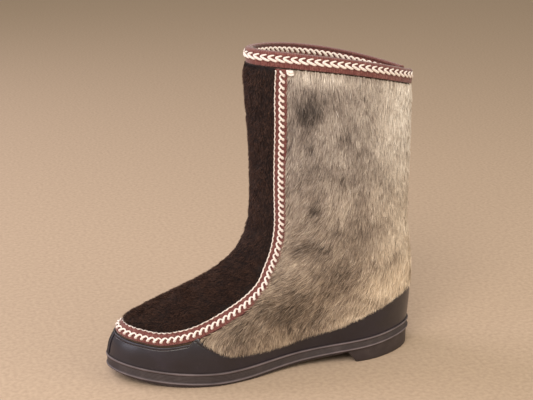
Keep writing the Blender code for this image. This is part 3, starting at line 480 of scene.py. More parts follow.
# Insole
# A loose sheet of cream wool felt, cut to the foot with a soft edge and laid on the sole inside the boot.
UPPER_WALL = 0.0030
INSOLE_THICKNESS = 0.0030
INSOLE_CLEARANCE = 0.0015
# Wool felt: matt and hairy, a cream that has yellowed a little, with matted fibres of about 0.1 mm that are
# drawn at 0.6 mm
felt, tree, shader = new_finish("wool_felt", {"Roughness": 0.95, "Specular IOR Level": 0.15,
                                              "Sheen Weight": 0.35, "Sheen Roughness": 0.6})
place = add_node(tree, "TexCoord").outputs["Object"]
cloud = add_node(tree, "TexNoise", {"Vector": place, "Scale": 60.0, "Detail": 6.0, "Roughness": 0.7})
tint = add_node(tree, "ValToRGB", {"Fac": cloud}, [(0.25, "#b9a673"), (0.5, "#d5c596"), (0.75, "#e6dab4")])
mat_fibre = add_node(tree, "TexNoise", {"Vector": place, "Scale": 1600.0, "Detail": 3.0, "Distortion": 1.5})
press = add_node(tree, "Bump", {"Height": mat_fibre, "Strength": 0.6, "Distance": 0.0006})
set_inputs(shader, {"Base Color": tint, "Normal": press})

steps = np.linspace(0, math.pi, 121)
# The sheet's edge from its top to its foot: height and set-back as shares of its thickness
soft_edge = np.array([(1.0, 0.5), (0.8, 0.05), (0.5, 0.0), (0.15, 0.03), (0.0, 0.2), (0.0, 0.5)])
sheet_sides = []
for angles in (steps, 2 * math.pi - steps):
    side = plan_line(angles, -UPPER_WALL - INSOLE_CLEARANCE - soft_edge[:, 1] * INSOLE_THICKNESS)[1]
    side[..., 2] = sole_top(side[..., 0]) + GAP + soft_edge[:, :1] * INSOLE_THICKNESS
    sheet_sides.append(side.transpose(1, 0, 2))
share = np.linspace(0, 1, 21)[None, 1:-1, None]
under = sheet_sides[0][:, -1:] * (1 - share) + sheet_sides[1][:, -1:] * share
over = sheet_sides[1][:, :1] * (1 - share) + sheet_sides[0][:, :1] * share
felt_points = np.concatenate([sheet_sides[0], under, sheet_sides[1][:, ::-1], over], 1) + FORM_PLACE
insole = add_mesh("felt_insole", felt_points, ring_faces(*felt_points.shape[:2]), felt)
weld(insole.data, WELD_REACH, clear=True)
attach(insole, "boot")
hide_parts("insole")

# Upper
# Tanned hide, with the lining of cream wool fleece glued inside it. It is lasted and cemented to the sole,
# and open at the collar and along the zip's slot at the back.
SLOT_WIDTH = 0.0140
ZIP_FOOT = 0.275
FLEECE_RISE = 0.0010


def soft_noise(points, size, seed):
    """Value noise: a random number at each corner of a lattice of cells, blended smoothly between. 0 to 1."""
    spot = np.asarray(points, float) / size + 1000.0
    cell = np.floor(spot).astype(np.int64)
    q = spot - cell
    q = q * q * (3 - 2 * q)
    total = np.zeros(spot.shape[:-1])
    for corner in np.ndindex(*(2,) * spot.shape[-1]):
        key = ((cell + np.array(corner)) * np.array([73856093, 19349663, 83492791])[:spot.shape[-1]]).sum(-1)
        key = (key + seed * 7919) & 0xffffffff
        key = ((key ^ (key >> 15)) * 2246822519) & 0xffffffff
        key = ((key ^ (key >> 13)) * 3266489917) & 0xffffffff
        value = ((key ^ (key >> 16)) & 0xffff) / 65535
        total += value * np.prod(np.where(np.array(corner) == 1, q, 1 - q), axis=-1)
    return total


def outward(theta, up):
    """Unit normal of the form, away from the foot: the cross product of its two slopes."""
    round_it, up_it = slopes(theta, up)
    return unit(np.cross(up_it, round_it))


def skin(theta, up, lift):
    """A point on the form, raised along its normal by lift."""
    return form(theta, up) + np.asarray(lift)[..., None] * outward(theta, up)


def from_zip(up, distance):
    """Angle at a distance from the middle of the back, which is theta zero."""
    return distance / np.linalg.norm(slopes(np.zeros_like(up), up)[0], axis=-1)


def below_collar(theta, distance):
    """Place up the form at a distance below the collar."""
    return 1 - distance / np.linalg.norm(slopes(theta, np.ones_like(theta))[1], axis=-1)


def shell_faces(rows, columns, wrap=False, missing=None):
    """Quads of a closed wall between two grids of points: both faces, and a strip along each free edge."""
    number = np.arange(rows * columns).reshape(rows, columns)
    left = number if wrap else number[:, :-1]
    right = np.roll(number, -1, 1) if wrap else number[:, 1:]
    cells = np.stack([left[:-1], right[:-1], right[1:], left[1:]], -1)
    cells = cells.reshape(-1, 4) if missing is None else cells[~missing]
    start, end = cells.ravel(), np.roll(cells, -1, 1).ravel()
    free = ~np.isin(start * number.size + end, end * number.size + start)
    start, end = start[free], end[free]
    strip = np.stack([end, start, start + number.size, end + number.size], 1)
    return np.concatenate([cells, cells[:, ::-1] + number.size, strip])


def seat_on_sole(grid, lift=0.0):
    """Sets the lowest row of a grid just above the sole's top face."""
    grid[0, :, 2] = sole_top(grid[0, :, 0] - FORM_PLACE[0]) + GAP + lift


def add_wall(name, outer, inner, finish, wrap=False, missing=None):
    """A closed wall between two grids of points: its outer face and its inner face."""
    return add_mesh(name, np.stack([outer, inner]), shell_faces(*outer.shape[:2], wrap, missing), finish)


up = np.unique(np.concatenate([np.linspace(0, 1, 104), [ZIP_FOOT]]))
slot = from_zip(up, SLOT_WIDTH / 2)
share = np.linspace(0, 1, 181)[None, :]
theta = slot[:, None] + (2 * math.pi - 2 * slot)[:, None] * share
crossing = np.linspace(0, 1, 9)[None, 1:-1]
theta = np.concatenate([theta, -slot[:, None] + 2 * slot[:, None] * crossing], 1)
grid = np.broadcast_to(up[:, None], theta.shape)
outer = skin(theta, grid, np.zeros(theta.shape))
inner = skin(theta, grid, np.full(theta.shape, -UPPER_WALL))
# The fleece stands up into the boot in soft tufts, but not at its cut edges
calm = np.clip(grid / 0.03, 0, 1) * np.clip((1 - grid) / 0.05, 0, 1)
tuft = 0.6 * soft_noise(inner, 0.0045, 3) + 0.4 * soft_noise(inner, 0.0018, 4)
inner = skin(theta, grid, -UPPER_WALL - FLEECE_RISE * calm * tuft)
seat_on_sole(inner)
missing = np.zeros((len(up) - 1, theta.shape[1]), bool)
missing[up[:-1] >= ZIP_FOOT - 1e-9, 240:] = True

# Tanned hide outside, wool fleece inside: matt suede-like hide in tan, and a yellowed cream fleece with soft
# curls of about 2 mm
hide, tree, shader = new_finish("hide_and_fleece", {"Roughness": 0.92, "Specular IOR Level": 0.2,
                                                    "Sheen Weight": 0.3, "Sheen Roughness": 0.55})
place = add_node(tree, "TexCoord").outputs["Object"]
inside = add_node(tree, "Attribute", attribute_name="fleece")
curl = add_node(tree, "TexNoise", {"Vector": place, "Scale": 420.0, "Detail": 5.0, "Roughness": 0.7,
                                   "Distortion": 0.8})
fleece_tone = add_node(tree, "ValToRGB", {"Fac": curl},
                       [(0.28, "#c6b58e"), (0.5, "#e4d8b8"), (0.72, "#f6eedb")])
hide_tone = add_node(tree, "ValToRGB", {"Fac": curl}, [(0.3, "#4a3a2c"), (0.7, "#6d5841")])
wall_tone = add_node(tree, "Mix", {"Factor": inside.outputs["Fac"], "A": hide_tone,
                                   "B": fleece_tone}, data_type="RGBA")
press = add_node(tree, "Bump", {"Height": curl, "Strength": 0.8, "Distance": 0.0008})
set_inputs(shader, {"Base Color": wall_tone, "Normal": press})

upper = add_wall("hide_and_lining", outer, inner, hide, True, missing)
used = np.ones(theta.shape, bool)
used[1:-1, 241:] = up[1:-1, None] <= ZIP_FOOT + 1e-9
used[-1, 241:] = False
store(upper, "fleece", np.concatenate([np.zeros(used.sum()), np.ones(used.sum())]))
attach(upper, "boot")
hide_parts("upper")

# Rand
# A strip of smooth brown cowhide, lasted round the foot between sole and fur. Its top edge is skived, folded
# in and stitched, and its two ends meet at the middle of the toe.
LAY = 0.0006
RAND_THICKNESS = 0.0016
CREASE_DROP = 0.0026
RIBBON_WIDTH = 0.0145
EDGE_GAP = 0.0013
COLLAR_RIBBON_DROP = 0.0105
HALF_SEAM = 361
# The ribbon's seam from the collar to the toe, and the rand's top edge from heel to ribbon: angle in degrees
# and place up the form, as in the CAD model
SEAM_ROWS = np.array([
    (137.0, 1.000), (141.0, 0.860), (144.5, 0.720), (141.5, 0.590), (136.5, 0.490), (128.5, 0.400),
    (126.0, 0.335), (130.5, 0.245), (140.0, 0.200), (157.0, 0.187), (180.0, 0.183),
])
RAND_ROWS = np.array([
    (0.0, 0.258), (23.0, 0.246), (41.0, 0.217), (55.0, 0.167), (65.0, 0.121), (77.0, 0.101),
    (90.0, 0.085), (103.0, 0.093), (111.0, 0.107), (119.0, 0.155), (127.5, 0.212),
])


def run_along(points):
    """Distance along a line of points, from its first point to each."""
    return np.concatenate([[0], np.cumsum(np.linalg.norm(np.diff(points, axis=0), axis=1))])


def spaced(theta, up, count):
    """The same line with count points at even distances along the form."""
    run = run_along(form(theta, up))
    even = np.linspace(0, run[-1], count)
    return np.interp(even, run, theta), np.interp(even, run, up)


def line_through(rows, count):
    """A smooth line on the form through a table of angles and places, evenly spaced."""
    knots = run_along(rows * [1 / 60, 1.5])
    fine = curve_through(np.linspace(0, knots[-1], 400), knots, rows)
    return spaced(np.radians(fine[:, 0]), fine[:, 1], count)


def seam_line(count):
    """The ribbon's middle line down the outer side, round the toe and up the inner side to the collar."""
    mirrored = np.stack([360 - SEAM_ROWS[-2::-1, 0], SEAM_ROWS[-2::-1, 1]], 1)
    theta, up = line_through(np.vstack([SEAM_ROWS, mirrored]), 600)
    keep = up < below_collar(theta, COLLAR_RIBBON_DROP + GAP)
    return spaced(theta[keep], up[keep], count)


def steps_along(way, round_it, up_it):
    """Steps of angle and place for each metre along a direction, solved for the form's two slopes."""
    a, b, c = (round_it**2).sum(-1), (round_it * up_it).sum(-1), (up_it**2).sum(-1)
    p, q = (way * round_it).sum(-1), (way * up_it).sum(-1)
    return (c * p - b * q) / (a * c - b * b), (a * q - b * p) / (a * c - b * b)


seam_theta, seam_up = seam_line(2 * HALF_SEAM - 1)
seam_run = run_along(form(seam_theta, seam_up))
# Sideways from the ribbon, to the back where the seam goes down: the cross product of normal and line
seam_way = unit(np.cross(outward(seam_theta, seam_up), np.gradient(form(seam_theta, seam_up), axis=0)))
seam_side = steps_along(seam_way, *slopes(seam_theta, seam_up))


def ribbon_side(distance):
    """The line beside the ribbon's middle at a distance, on the outer half of the boot, collar to toe."""
    return ((seam_theta + distance * seam_side[0])[:HALF_SEAM],
            (seam_up + distance * seam_side[1])[:HALF_SEAM])


def rand_edge(theta):
    """Top of the rand at each angle: its own line behind, and the ribbon's lower edge round the toe."""
    line_theta, line_up = line_through(RAND_ROWS, 120)
    ribbon_theta, ribbon_up = ribbon_side(RIBBON_WIDTH / 2 + EDGE_GAP)
    ahead = (ribbon_theta > line_theta[-1]) & (ribbon_up < line_up[-1] * 1.1)
    order = np.argsort(ribbon_theta[ahead])
    angles = np.concatenate([line_theta, ribbon_theta[ahead][order]])
    places = np.concatenate([line_up, ribbon_up[ahead][order]])
    return np.interp(np.where(theta > math.pi, 2 * math.pi - theta, theta), angles, places)


theta = np.linspace(0, 2 * math.pi, 301)[:-1]
top = rand_edge(theta)
height = top * np.linalg.norm(slopes(theta, top / 2)[1], axis=-1)
# From the sole up: plain leather, a sewn crease 2.6 mm under the edge, then the fold, rounded over at the top
from_top = np.concatenate([np.linspace(1, 0.0, 44)**1.3 * 0.030 + 0.0036,
                           [0.0032, 0.0029, CREASE_DROP, 0.0023, 0.0020], np.linspace(0.0016, 0.0, 9)])
# The crease's share: it sinks the leather, and the same share paints shade along the crease
crease_and_shade = np.exp(-((from_top - CREASE_DROP) / 0.00035)**2)
fold = np.clip((CREASE_DROP - from_top) / 0.0005, 0, 1)
rim = 1 - np.sqrt(np.clip(1 - np.clip((0.0009 - from_top) / 0.0009, 0, 1)**2, 0, 1))
up = top[None, :] * (1 - np.clip(from_top[:, None] / np.maximum(height, 0.004)[None, :], 0, 1))
up[0] = 0.0
for row in range(1, len(up)):
    up[row] = np.maximum(up[row], up[row - 1] + 1e-5)
grid = np.broadcast_to(theta[None, :], up.shape)
surface = form(grid, up)
give = soft_noise(surface, 0.011, 5) - 0.5
flex = np.exp(-((surface[..., 0] - FORM_PLACE[0] - 0.70 * LENGTH) / 0.020)**2)
wrinkle = flex * np.sin(surface[..., 0] / 0.0042 * 2 * math.pi + 9 * give)
lift = LAY + RAND_THICKNESS + 0.00020 * give + 0.00010 * wrinkle
lift = lift - (0.00045 * crease_and_shade)[:, None] + (0.00025 * fold - 0.0010 * rim)[:, None]
outer = skin(grid, up, lift)
inner = skin(grid, up, np.full(up.shape, LAY))
seat_on_sole(outer)
seat_on_sole(inner)

# Smooth cowhide, chrome tanned and finished dark brown with a violet cast: half gloss over a fine pebble
# grain, drier and greyer where it is scuffed, and with painted shade darkening the sewn crease and the toe
# strip's grooves. The pebbles are about 0.6 mm, drawn at 0.9 mm so that they show.
cowhide, tree, shader = new_finish("smooth_cowhide", {"Specular IOR Level": 0.5, "Coat Weight": 0.35,
                                                      "Coat Roughness": 0.26})
place = add_node(tree, "TexCoord").outputs["Object"]
cloud = add_node(tree, "TexNoise", {"Vector": place, "Scale": 34.0, "Detail": 5.0, "Roughness": 0.6})
dye = add_node(tree, "ValToRGB", {"Fac": cloud}, [(0.25, "#16111a"), (0.5, "#1c1721"), (0.78, "#261f2d")])
# Painted shade: the leather's colour darkened along its crease and grooves
crease_shade_mark = add_node(tree, "Attribute", attribute_name="crease_and_shade")
dark = add_node(tree, "Mix", {"Factor": crease_shade_mark.outputs["Fac"], "A": dye,
                              "B": srgb("#17120f")}, data_type="RGBA")
scuff_lines = add_node(tree, "TexNoise", {"Vector": place, "Scale": 150.0, "Detail": 8.0, "Roughness": 0.8,
                                          "Distortion": 2.0})
scuff = add_node(tree, "MapRange", {"Value": scuff_lines, "From Min": 0.60, "From Max": 0.78, "To Max": 0.55})
scuffed = add_node(tree, "Mix", {"Factor": scuff, "A": dark, "B": srgb("#65575c")}, data_type="RGBA")
polish = add_node(tree, "MapRange", {"Value": cloud, "From Min": 0.3, "From Max": 0.7,
                                     "To Min": 0.30, "To Max": 0.48})
pebble = add_node(tree, "TexVoronoi", {"Vector": place, "Scale": 1100.0, "Randomness": 1.0},
                  feature="SMOOTH_F1")
press = add_node(tree, "Bump", {"Height": pebble, "Strength": 0.22, "Distance": 0.0003})
wave_press = add_node(tree, "Bump", {"Height": cloud, "Strength": 0.25, "Distance": 0.002, "Normal": press})
set_inputs(shader, {"Base Color": scuffed, "Roughness": polish, "Normal": wave_press})

rand = add_wall("rand_leather", outer, inner, cowhide, True)
# The crease share is kept for the leather to paint shade along it
crease_and_shade_rows = np.broadcast_to(crease_and_shade[:, None], up.shape)
store(rand, "crease_and_shade", np.stack([crease_and_shade_rows, crease_and_shade_rows]))
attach(rand, "boot")
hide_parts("rand")

# Rand stitches
# Waxed thread along the rand's folded edge, one stitch every 2.6 mm, sunk in its crease.
STITCH_PITCH = 0.0026
STITCH_LENGTH = STITCH_PITCH * 0.86
STITCH_SINK = 0.00020
THREAD_THICKNESS = 0.00062


def capsules(middles, along, out, length, thickness):
    """Small rounded rods, one at each middle: an ellipsoid of six by five points, drawn out on its axis."""
    sides, ends = 6, 5
    side = np.cross(out, along)
    a = np.linspace(0, 2 * math.pi, sides + 1)[:-1]
    b = np.linspace(-1, 1, ends) * 0.97
    wide = np.sqrt(1 - b**2)
    offset = (b[:, None, None] * length / 2 * along[:, None, None, :]
              + wide[:, None, None] * np.cos(a)[:, None] * thickness / 2 * side[:, None, None, :]
              + wide[:, None, None] * np.sin(a)[:, None] * thickness / 2 * out[:, None, None, :])
    return middles[:, None, None, :] + offset, many_faces(len(middles), ends, sides)


def many_faces(count, rows, columns):
    """Faces of a row of alike pieces, each of closed rings with a cap at both ends."""
    first = (np.arange(count) * rows * columns)[:, None, None]
    caps = np.stack([np.arange(columns)[::-1], np.arange(columns) + (rows - 1) * columns])
    sides = ring_faces(rows, columns)
    return [(sides[None] + first).reshape(-1, 4), (caps[None] + first).reshape(-1, columns)]


fine = np.linspace(0, 2 * math.pi, 3601)
edge = rand_edge(fine)
edge -= CREASE_DROP / np.linalg.norm(slopes(fine, edge)[1], axis=-1)
run = run_along(form(fine, edge))
places = np.arange(STITCH_PITCH / 2, run[-1], STITCH_PITCH)
theta = np.interp(places, run, fine)
up = np.interp(places, run, edge)
ahead = places + 4e-4
along = unit(form(np.interp(ahead, run, fine), np.interp(ahead, run, edge)) - form(theta, up))
seats = skin(theta, up, np.full(len(theta), LAY + RAND_THICKNESS - STITCH_SINK))
points, faces = capsules(seats, along, outward(theta, up), STITCH_LENGTH, THREAD_THICKNESS)
# Waxed polyester thread, dark brown: a soft shine, drier where it dips into the leather
thread, tree, shader = new_finish("waxed_thread", {"Roughness": 0.5, "Specular IOR Level": 0.45})
place = add_node(tree, "TexCoord").outputs["Object"]
twist = add_node(tree, "TexNoise", {"Vector": place, "Scale": 900.0, "Detail": 2.0})
tint = add_node(tree, "ValToRGB", {"Fac": twist}, [(0.3, "#2a2024"), (0.7, "#57484d")])
set_inputs(shader, {"Base Color": tint})
stitches = add_mesh("rand_stitches", points, faces, thread)
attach(stitches, "boot")

# Toe seam
# A narrow strip of the same leather, cemented and stitched over the join of the rand's ends at the toe.
TOE_SEAM_WIDTH = 0.0045
TOE_SEAM_THICKNESS = 0.0007
up = np.linspace(0.02, 1, 60) * (rand_edge(np.array([math.pi]))[0] - 0.008)
across = np.linspace(-1, 1, 15)
half = TOE_SEAM_WIDTH / 2 / np.linalg.norm(slopes(np.full(60, math.pi), up)[0], axis=-1)
theta = math.pi + half[:, None] * across[None, :]
grid = np.broadcast_to(up[:, None], theta.shape)
seat = LAY + RAND_THICKNESS + GAP
ridge = np.exp(-(across / 0.14)**2) * 0.0006
edges = 1 - np.abs(across)**6 * 0.7
thick = TOE_SEAM_THICKNESS * edges + ridge
outer = skin(theta, grid, seat + np.broadcast_to(thick, theta.shape))
inner = skin(theta, grid, np.full(theta.shape, seat - 0.0002))
toe_strip = add_wall("toe_seam_strip", outer, inner, cowhide)
# Painted shade in the shallow grooves beside the strip's ridge, through the leather's crease shade
groove_shade = np.broadcast_to(np.exp(-((np.abs(across) - 0.22) / 0.10)**2), theta.shape)
store(toe_strip, "crease_and_shade", np.stack([groove_shade, groove_shade]))
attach(toe_strip, "boot")
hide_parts("toe_seam")

# Side fur
# Two panels of short-haired seal skin, one on each side from zip to ribbon. The hair is flat, stiff and about
# 11 mm long, lies down the leg and hangs a little over the rand. A thin undercoat shows between the hairs.
FUR_LAY = 0.0010
PILE = 0.0040
RIBBON_THICKNESS = 0.0014
RAND_GAP = 0.0020
HAIR_LENGTH = 0.0105
HAIR_WIDTH = 0.00037
HAIR_OVERHANG = 0.0045
ROOT_WIDTH = 0.8
COAT_TOP, COAT_FOOT = 0.190, 0.070
SIDE_HAIRS = 54000
chance = np.random.default_rng(11)
# Marks in the coat: angle in degrees, place up, reach round and reach up in metres, and how much paler
COAT_MARKS = np.array([
    (115, 0.905, 0.013, 0.013, -0.28), (120, 0.865, 0.010, 0.016, -0.20), (117, 0.803, 0.003, 0.004, -0.22),
    (91, 0.827, 0.004, 0.009, -0.24), (111, 0.667, 0.005, 0.006, -0.30), (96, 0.607, 0.004, 0.004, -0.16),
    (112, 0.560, 0.014, 0.007, -0.20), (72, 0.600, 0.016, 0.007, -0.12), (80, 0.440, 0.026, 0.014, -0.20),
    (100, 0.330, 0.020, 0.012, -0.10), (40, 0.930, 0.024, 0.024, 0.26), (46, 0.800, 0.012, 0.030, 0.08),
    (47, 0.345, 0.018, 0.010, 0.19), (30, 0.420, 0.014, 0.016, 0.16), (104, 0.975, 0.030, 0.008, 0.18),
    (52, 0.470, 0.015, 0.006, -0.12), (95, 0.150, 0.030, 0.010, 0.06),
])


def seam_at(up, distance):
    """Angle of the line beside the ribbon's middle at a place up the form, on the seam's climbing part."""
    line_theta, line_up = ribbon_side(distance)
    climbing = np.arange(len(line_up)) <= np.argmax(line_up < 0.195)
    return np.interp(up, line_up[climbing][::-1], line_theta[climbing][::-1])


def rand_line(theta, distance):
    """Place up of the line at a distance above the rand's top edge, behind the ribbon."""
    line_theta, line_up = line_through(RAND_ROWS, 200)
    line_up = line_up + distance / np.linalg.norm(slopes(line_theta, line_up)[1], axis=-1)
    return np.interp(theta, line_theta, line_up)


def panel_edges(theta, up):
    """Distances from a point on the outer side to the panel's four edges: zip, ribbon, rand and collar."""
    round_it, up_it = slopes(theta, up)
    round_size, up_size = np.linalg.norm(round_it, axis=-1), np.linalg.norm(up_it, axis=-1)
    return ((theta - from_zip(up, SLOT_WIDTH / 2 + EDGE_GAP)) * round_size,
            (seam_at(up, RIBBON_WIDTH / 2 + EDGE_GAP * 0.6) - theta) * round_size,
            (up - rand_line(theta, RAND_GAP * 0.8)) * up_size,
            (below_collar(theta, COLLAR_RIBBON_DROP + EDGE_GAP * 0.6) - up) * up_size)


def sown(count, low, high, inside):
    """Evenly spread points of the form inside a panel: random ones, kept in proportion to the area."""
    theta = chance.uniform(low[0], high[0], count * 6)
    up = chance.uniform(low[1], high[1], count * 6)
    area = np.linalg.norm(np.cross(*slopes(theta, up)), axis=-1)
    keep = (chance.uniform(0, np.quantile(area, 0.995), len(theta)) < area) & inside(theta, up)
    return theta[keep][:count], up[keep][:count]


def comb(name, theta, up, heading, length, lifts, width, twist, finish):
    """Hairs as flat blades on the form: root, middle and tip lie along a heading from straight down.

    The steps of angle and place come from the form's two slopes; the blade is turned about its line by twist.
    """
    round_it, up_it = slopes(theta, up)
    down = unit(-up_it)
    normal = outward(theta, up)
    ahead = np.cross(normal, down)
    ahead *= np.sign((ahead * round_it).sum(-1, keepdims=True))
    way = down * np.cos(heading)[:, None] + ahead * np.sin(heading)[:, None]
    turn, rise = steps_along(way, round_it, up_it)
    spots = []
    for share, lift in zip((0.0, 0.5, 1.0), lifts):
        here = np.clip(up + rise * length * share, -0.02, 1.0)
        spots.append(skin(theta + turn * length * share, here, lift))
    across = np.cross(way, normal) * np.cos(twist)[:, None] + normal * np.sin(twist)[:, None]
    half = across * width[:, None] / 2
    points = np.stack([spots[0] + half * ROOT_WIDTH, spots[0] - half * ROOT_WIDTH,
                       spots[1] + half, spots[1] - half, spots[2]], 1)
    first = (np.arange(len(theta)) * 5)[:, None]
    faces = [first + np.array([0, 1, 3, 2]), first + np.array([2, 3, 4])]
    flat = np.cross(points[0, 1] - points[0, 0], points[0, 3] - points[0, 0])
    if flat @ normal[0] < 0:
        faces = [group[:, ::-1] for group in faces]
    return add_mesh(name, points, faces, finish)


def coat_tone(points, theta, up, mirrored):
    """Paleness of the coat at points of the form, 0 to 1: broad clouds, flecks, and the table's marks."""
    tone = 0.49 + 0.20 * (soft_noise(points, 0.030, 21 + mirrored) - 0.5)
    tone += 0.16 * (soft_noise(points, 0.011, 23 + mirrored) - 0.5)
    tone += 0.20 * (soft_noise(points, 0.0035, 25 + mirrored) - 0.5)
    tone -= 0.09 * np.clip((0.45 - up) / 0.2, 0, 1) * np.clip((theta - 1.0) / 0.4, 0, 1)
    back_share = np.clip((math.radians(78) - theta) / math.radians(45), 0, 1)
    tone += 0.27 * back_share**0.8
    for angle, place_up, reach_round, reach_up, amount in COAT_MARKS:
        spot = form(math.radians(angle), place_up)
        if mirrored:
            spot = spot + [0.006 * math.sin(angle), 0.0, 0.009 * math.cos(angle * 2.0)]
        off_x = np.hypot(points[:, 0] - spot[0], points[:, 1] - spot[1]) / reach_round
        off_z = (points[:, 2] - spot[2]) / reach_up
        tone += amount * np.exp(-(off_x**2 + off_z**2))
    return tone


# Seal hair: stiff, flat guard hairs with a dull silk shine, from slate brown through sand to cream. Each hair
# is darker at its root. It is keratin, so its IOR is 1.55.
seal_hair, tree, shader = new_finish("seal_hair", {"Roughness": 0.55, "IOR": 1.55, "Specular IOR Level": 0.30,
                                                   "Sheen Weight": 0.15, "Sheen Roughness": 0.4})
paleness = add_node(tree, "Attribute", attribute_name="paleness")
coat = add_node(tree, "ValToRGB", {"Fac": paleness.outputs["Fac"]},
                [(0.0, "#2a2422"), (1.0, "#f8f1e8"), (0.20, "#544a44"), (0.38, "#897c73"), (0.55, "#afa298"),
                 (0.72, "#d2c6b9"), (0.88, "#ece3d8")])
coats = [(tree, shader, coat, add_node(tree, "TexCoord").outputs["Object"])]
# Undercoat: dense soft wool close to the skin, in the same tones but darker
undercoat, tree, shader = new_finish("seal_undercoat", {"Roughness": 0.95, "Specular IOR Level": 0.1,
                                                        "Sheen Weight": 0.3, "Sheen Roughness": 0.5})
paleness = add_node(tree, "Attribute", attribute_name="paleness")
place = add_node(tree, "TexCoord").outputs["Object"]
streaks = add_node(tree, "Mapping", {"Vector": place, "Scale": (1.0, 1.0, 0.16)})
wool = add_node(tree, "TexNoise", {"Vector": streaks, "Scale": 900.0, "Detail": 3.0})
mixed = add_node(tree, "MapRange", {"Value": wool, "From Min": 0.3, "From Max": 0.7,
                                    "To Min": -0.22, "To Max": 0.04})
summed = add_node(tree, "Math", {0: paleness.outputs["Fac"], 1: mixed}, operation="ADD")
coat = add_node(tree, "ValToRGB", {"Fac": summed},
                [(0.0, "#241f1d"), (1.0, "#d8cdc0"), (0.35, "#6c6058"), (0.65, "#a29383")])
press = add_node(tree, "Bump", {"Height": wool, "Strength": 0.7, "Distance": 0.0008})
set_inputs(shader, {"Normal": press})
coats.append((tree, shader, coat, place))
# Both are greyer up the leg and golden on the foot
for tree, shader, coat, place in coats:
    low_down = add_node(tree, "SeparateXYZ", {"Vector": place})
    warmth = add_node(tree, "MapRange", {"Value": low_down.outputs["Z"], "From Min": COAT_TOP,
                                         "From Max": COAT_FOOT})
    warmer = add_node(tree, "Mix", {"Factor": warmth, "A": coat,
                                    "B": srgb("#fbf1e2")}, data_type="RGBA", blend_type="MULTIPLY")
    set_inputs(shader, {"Base Color": warmer})

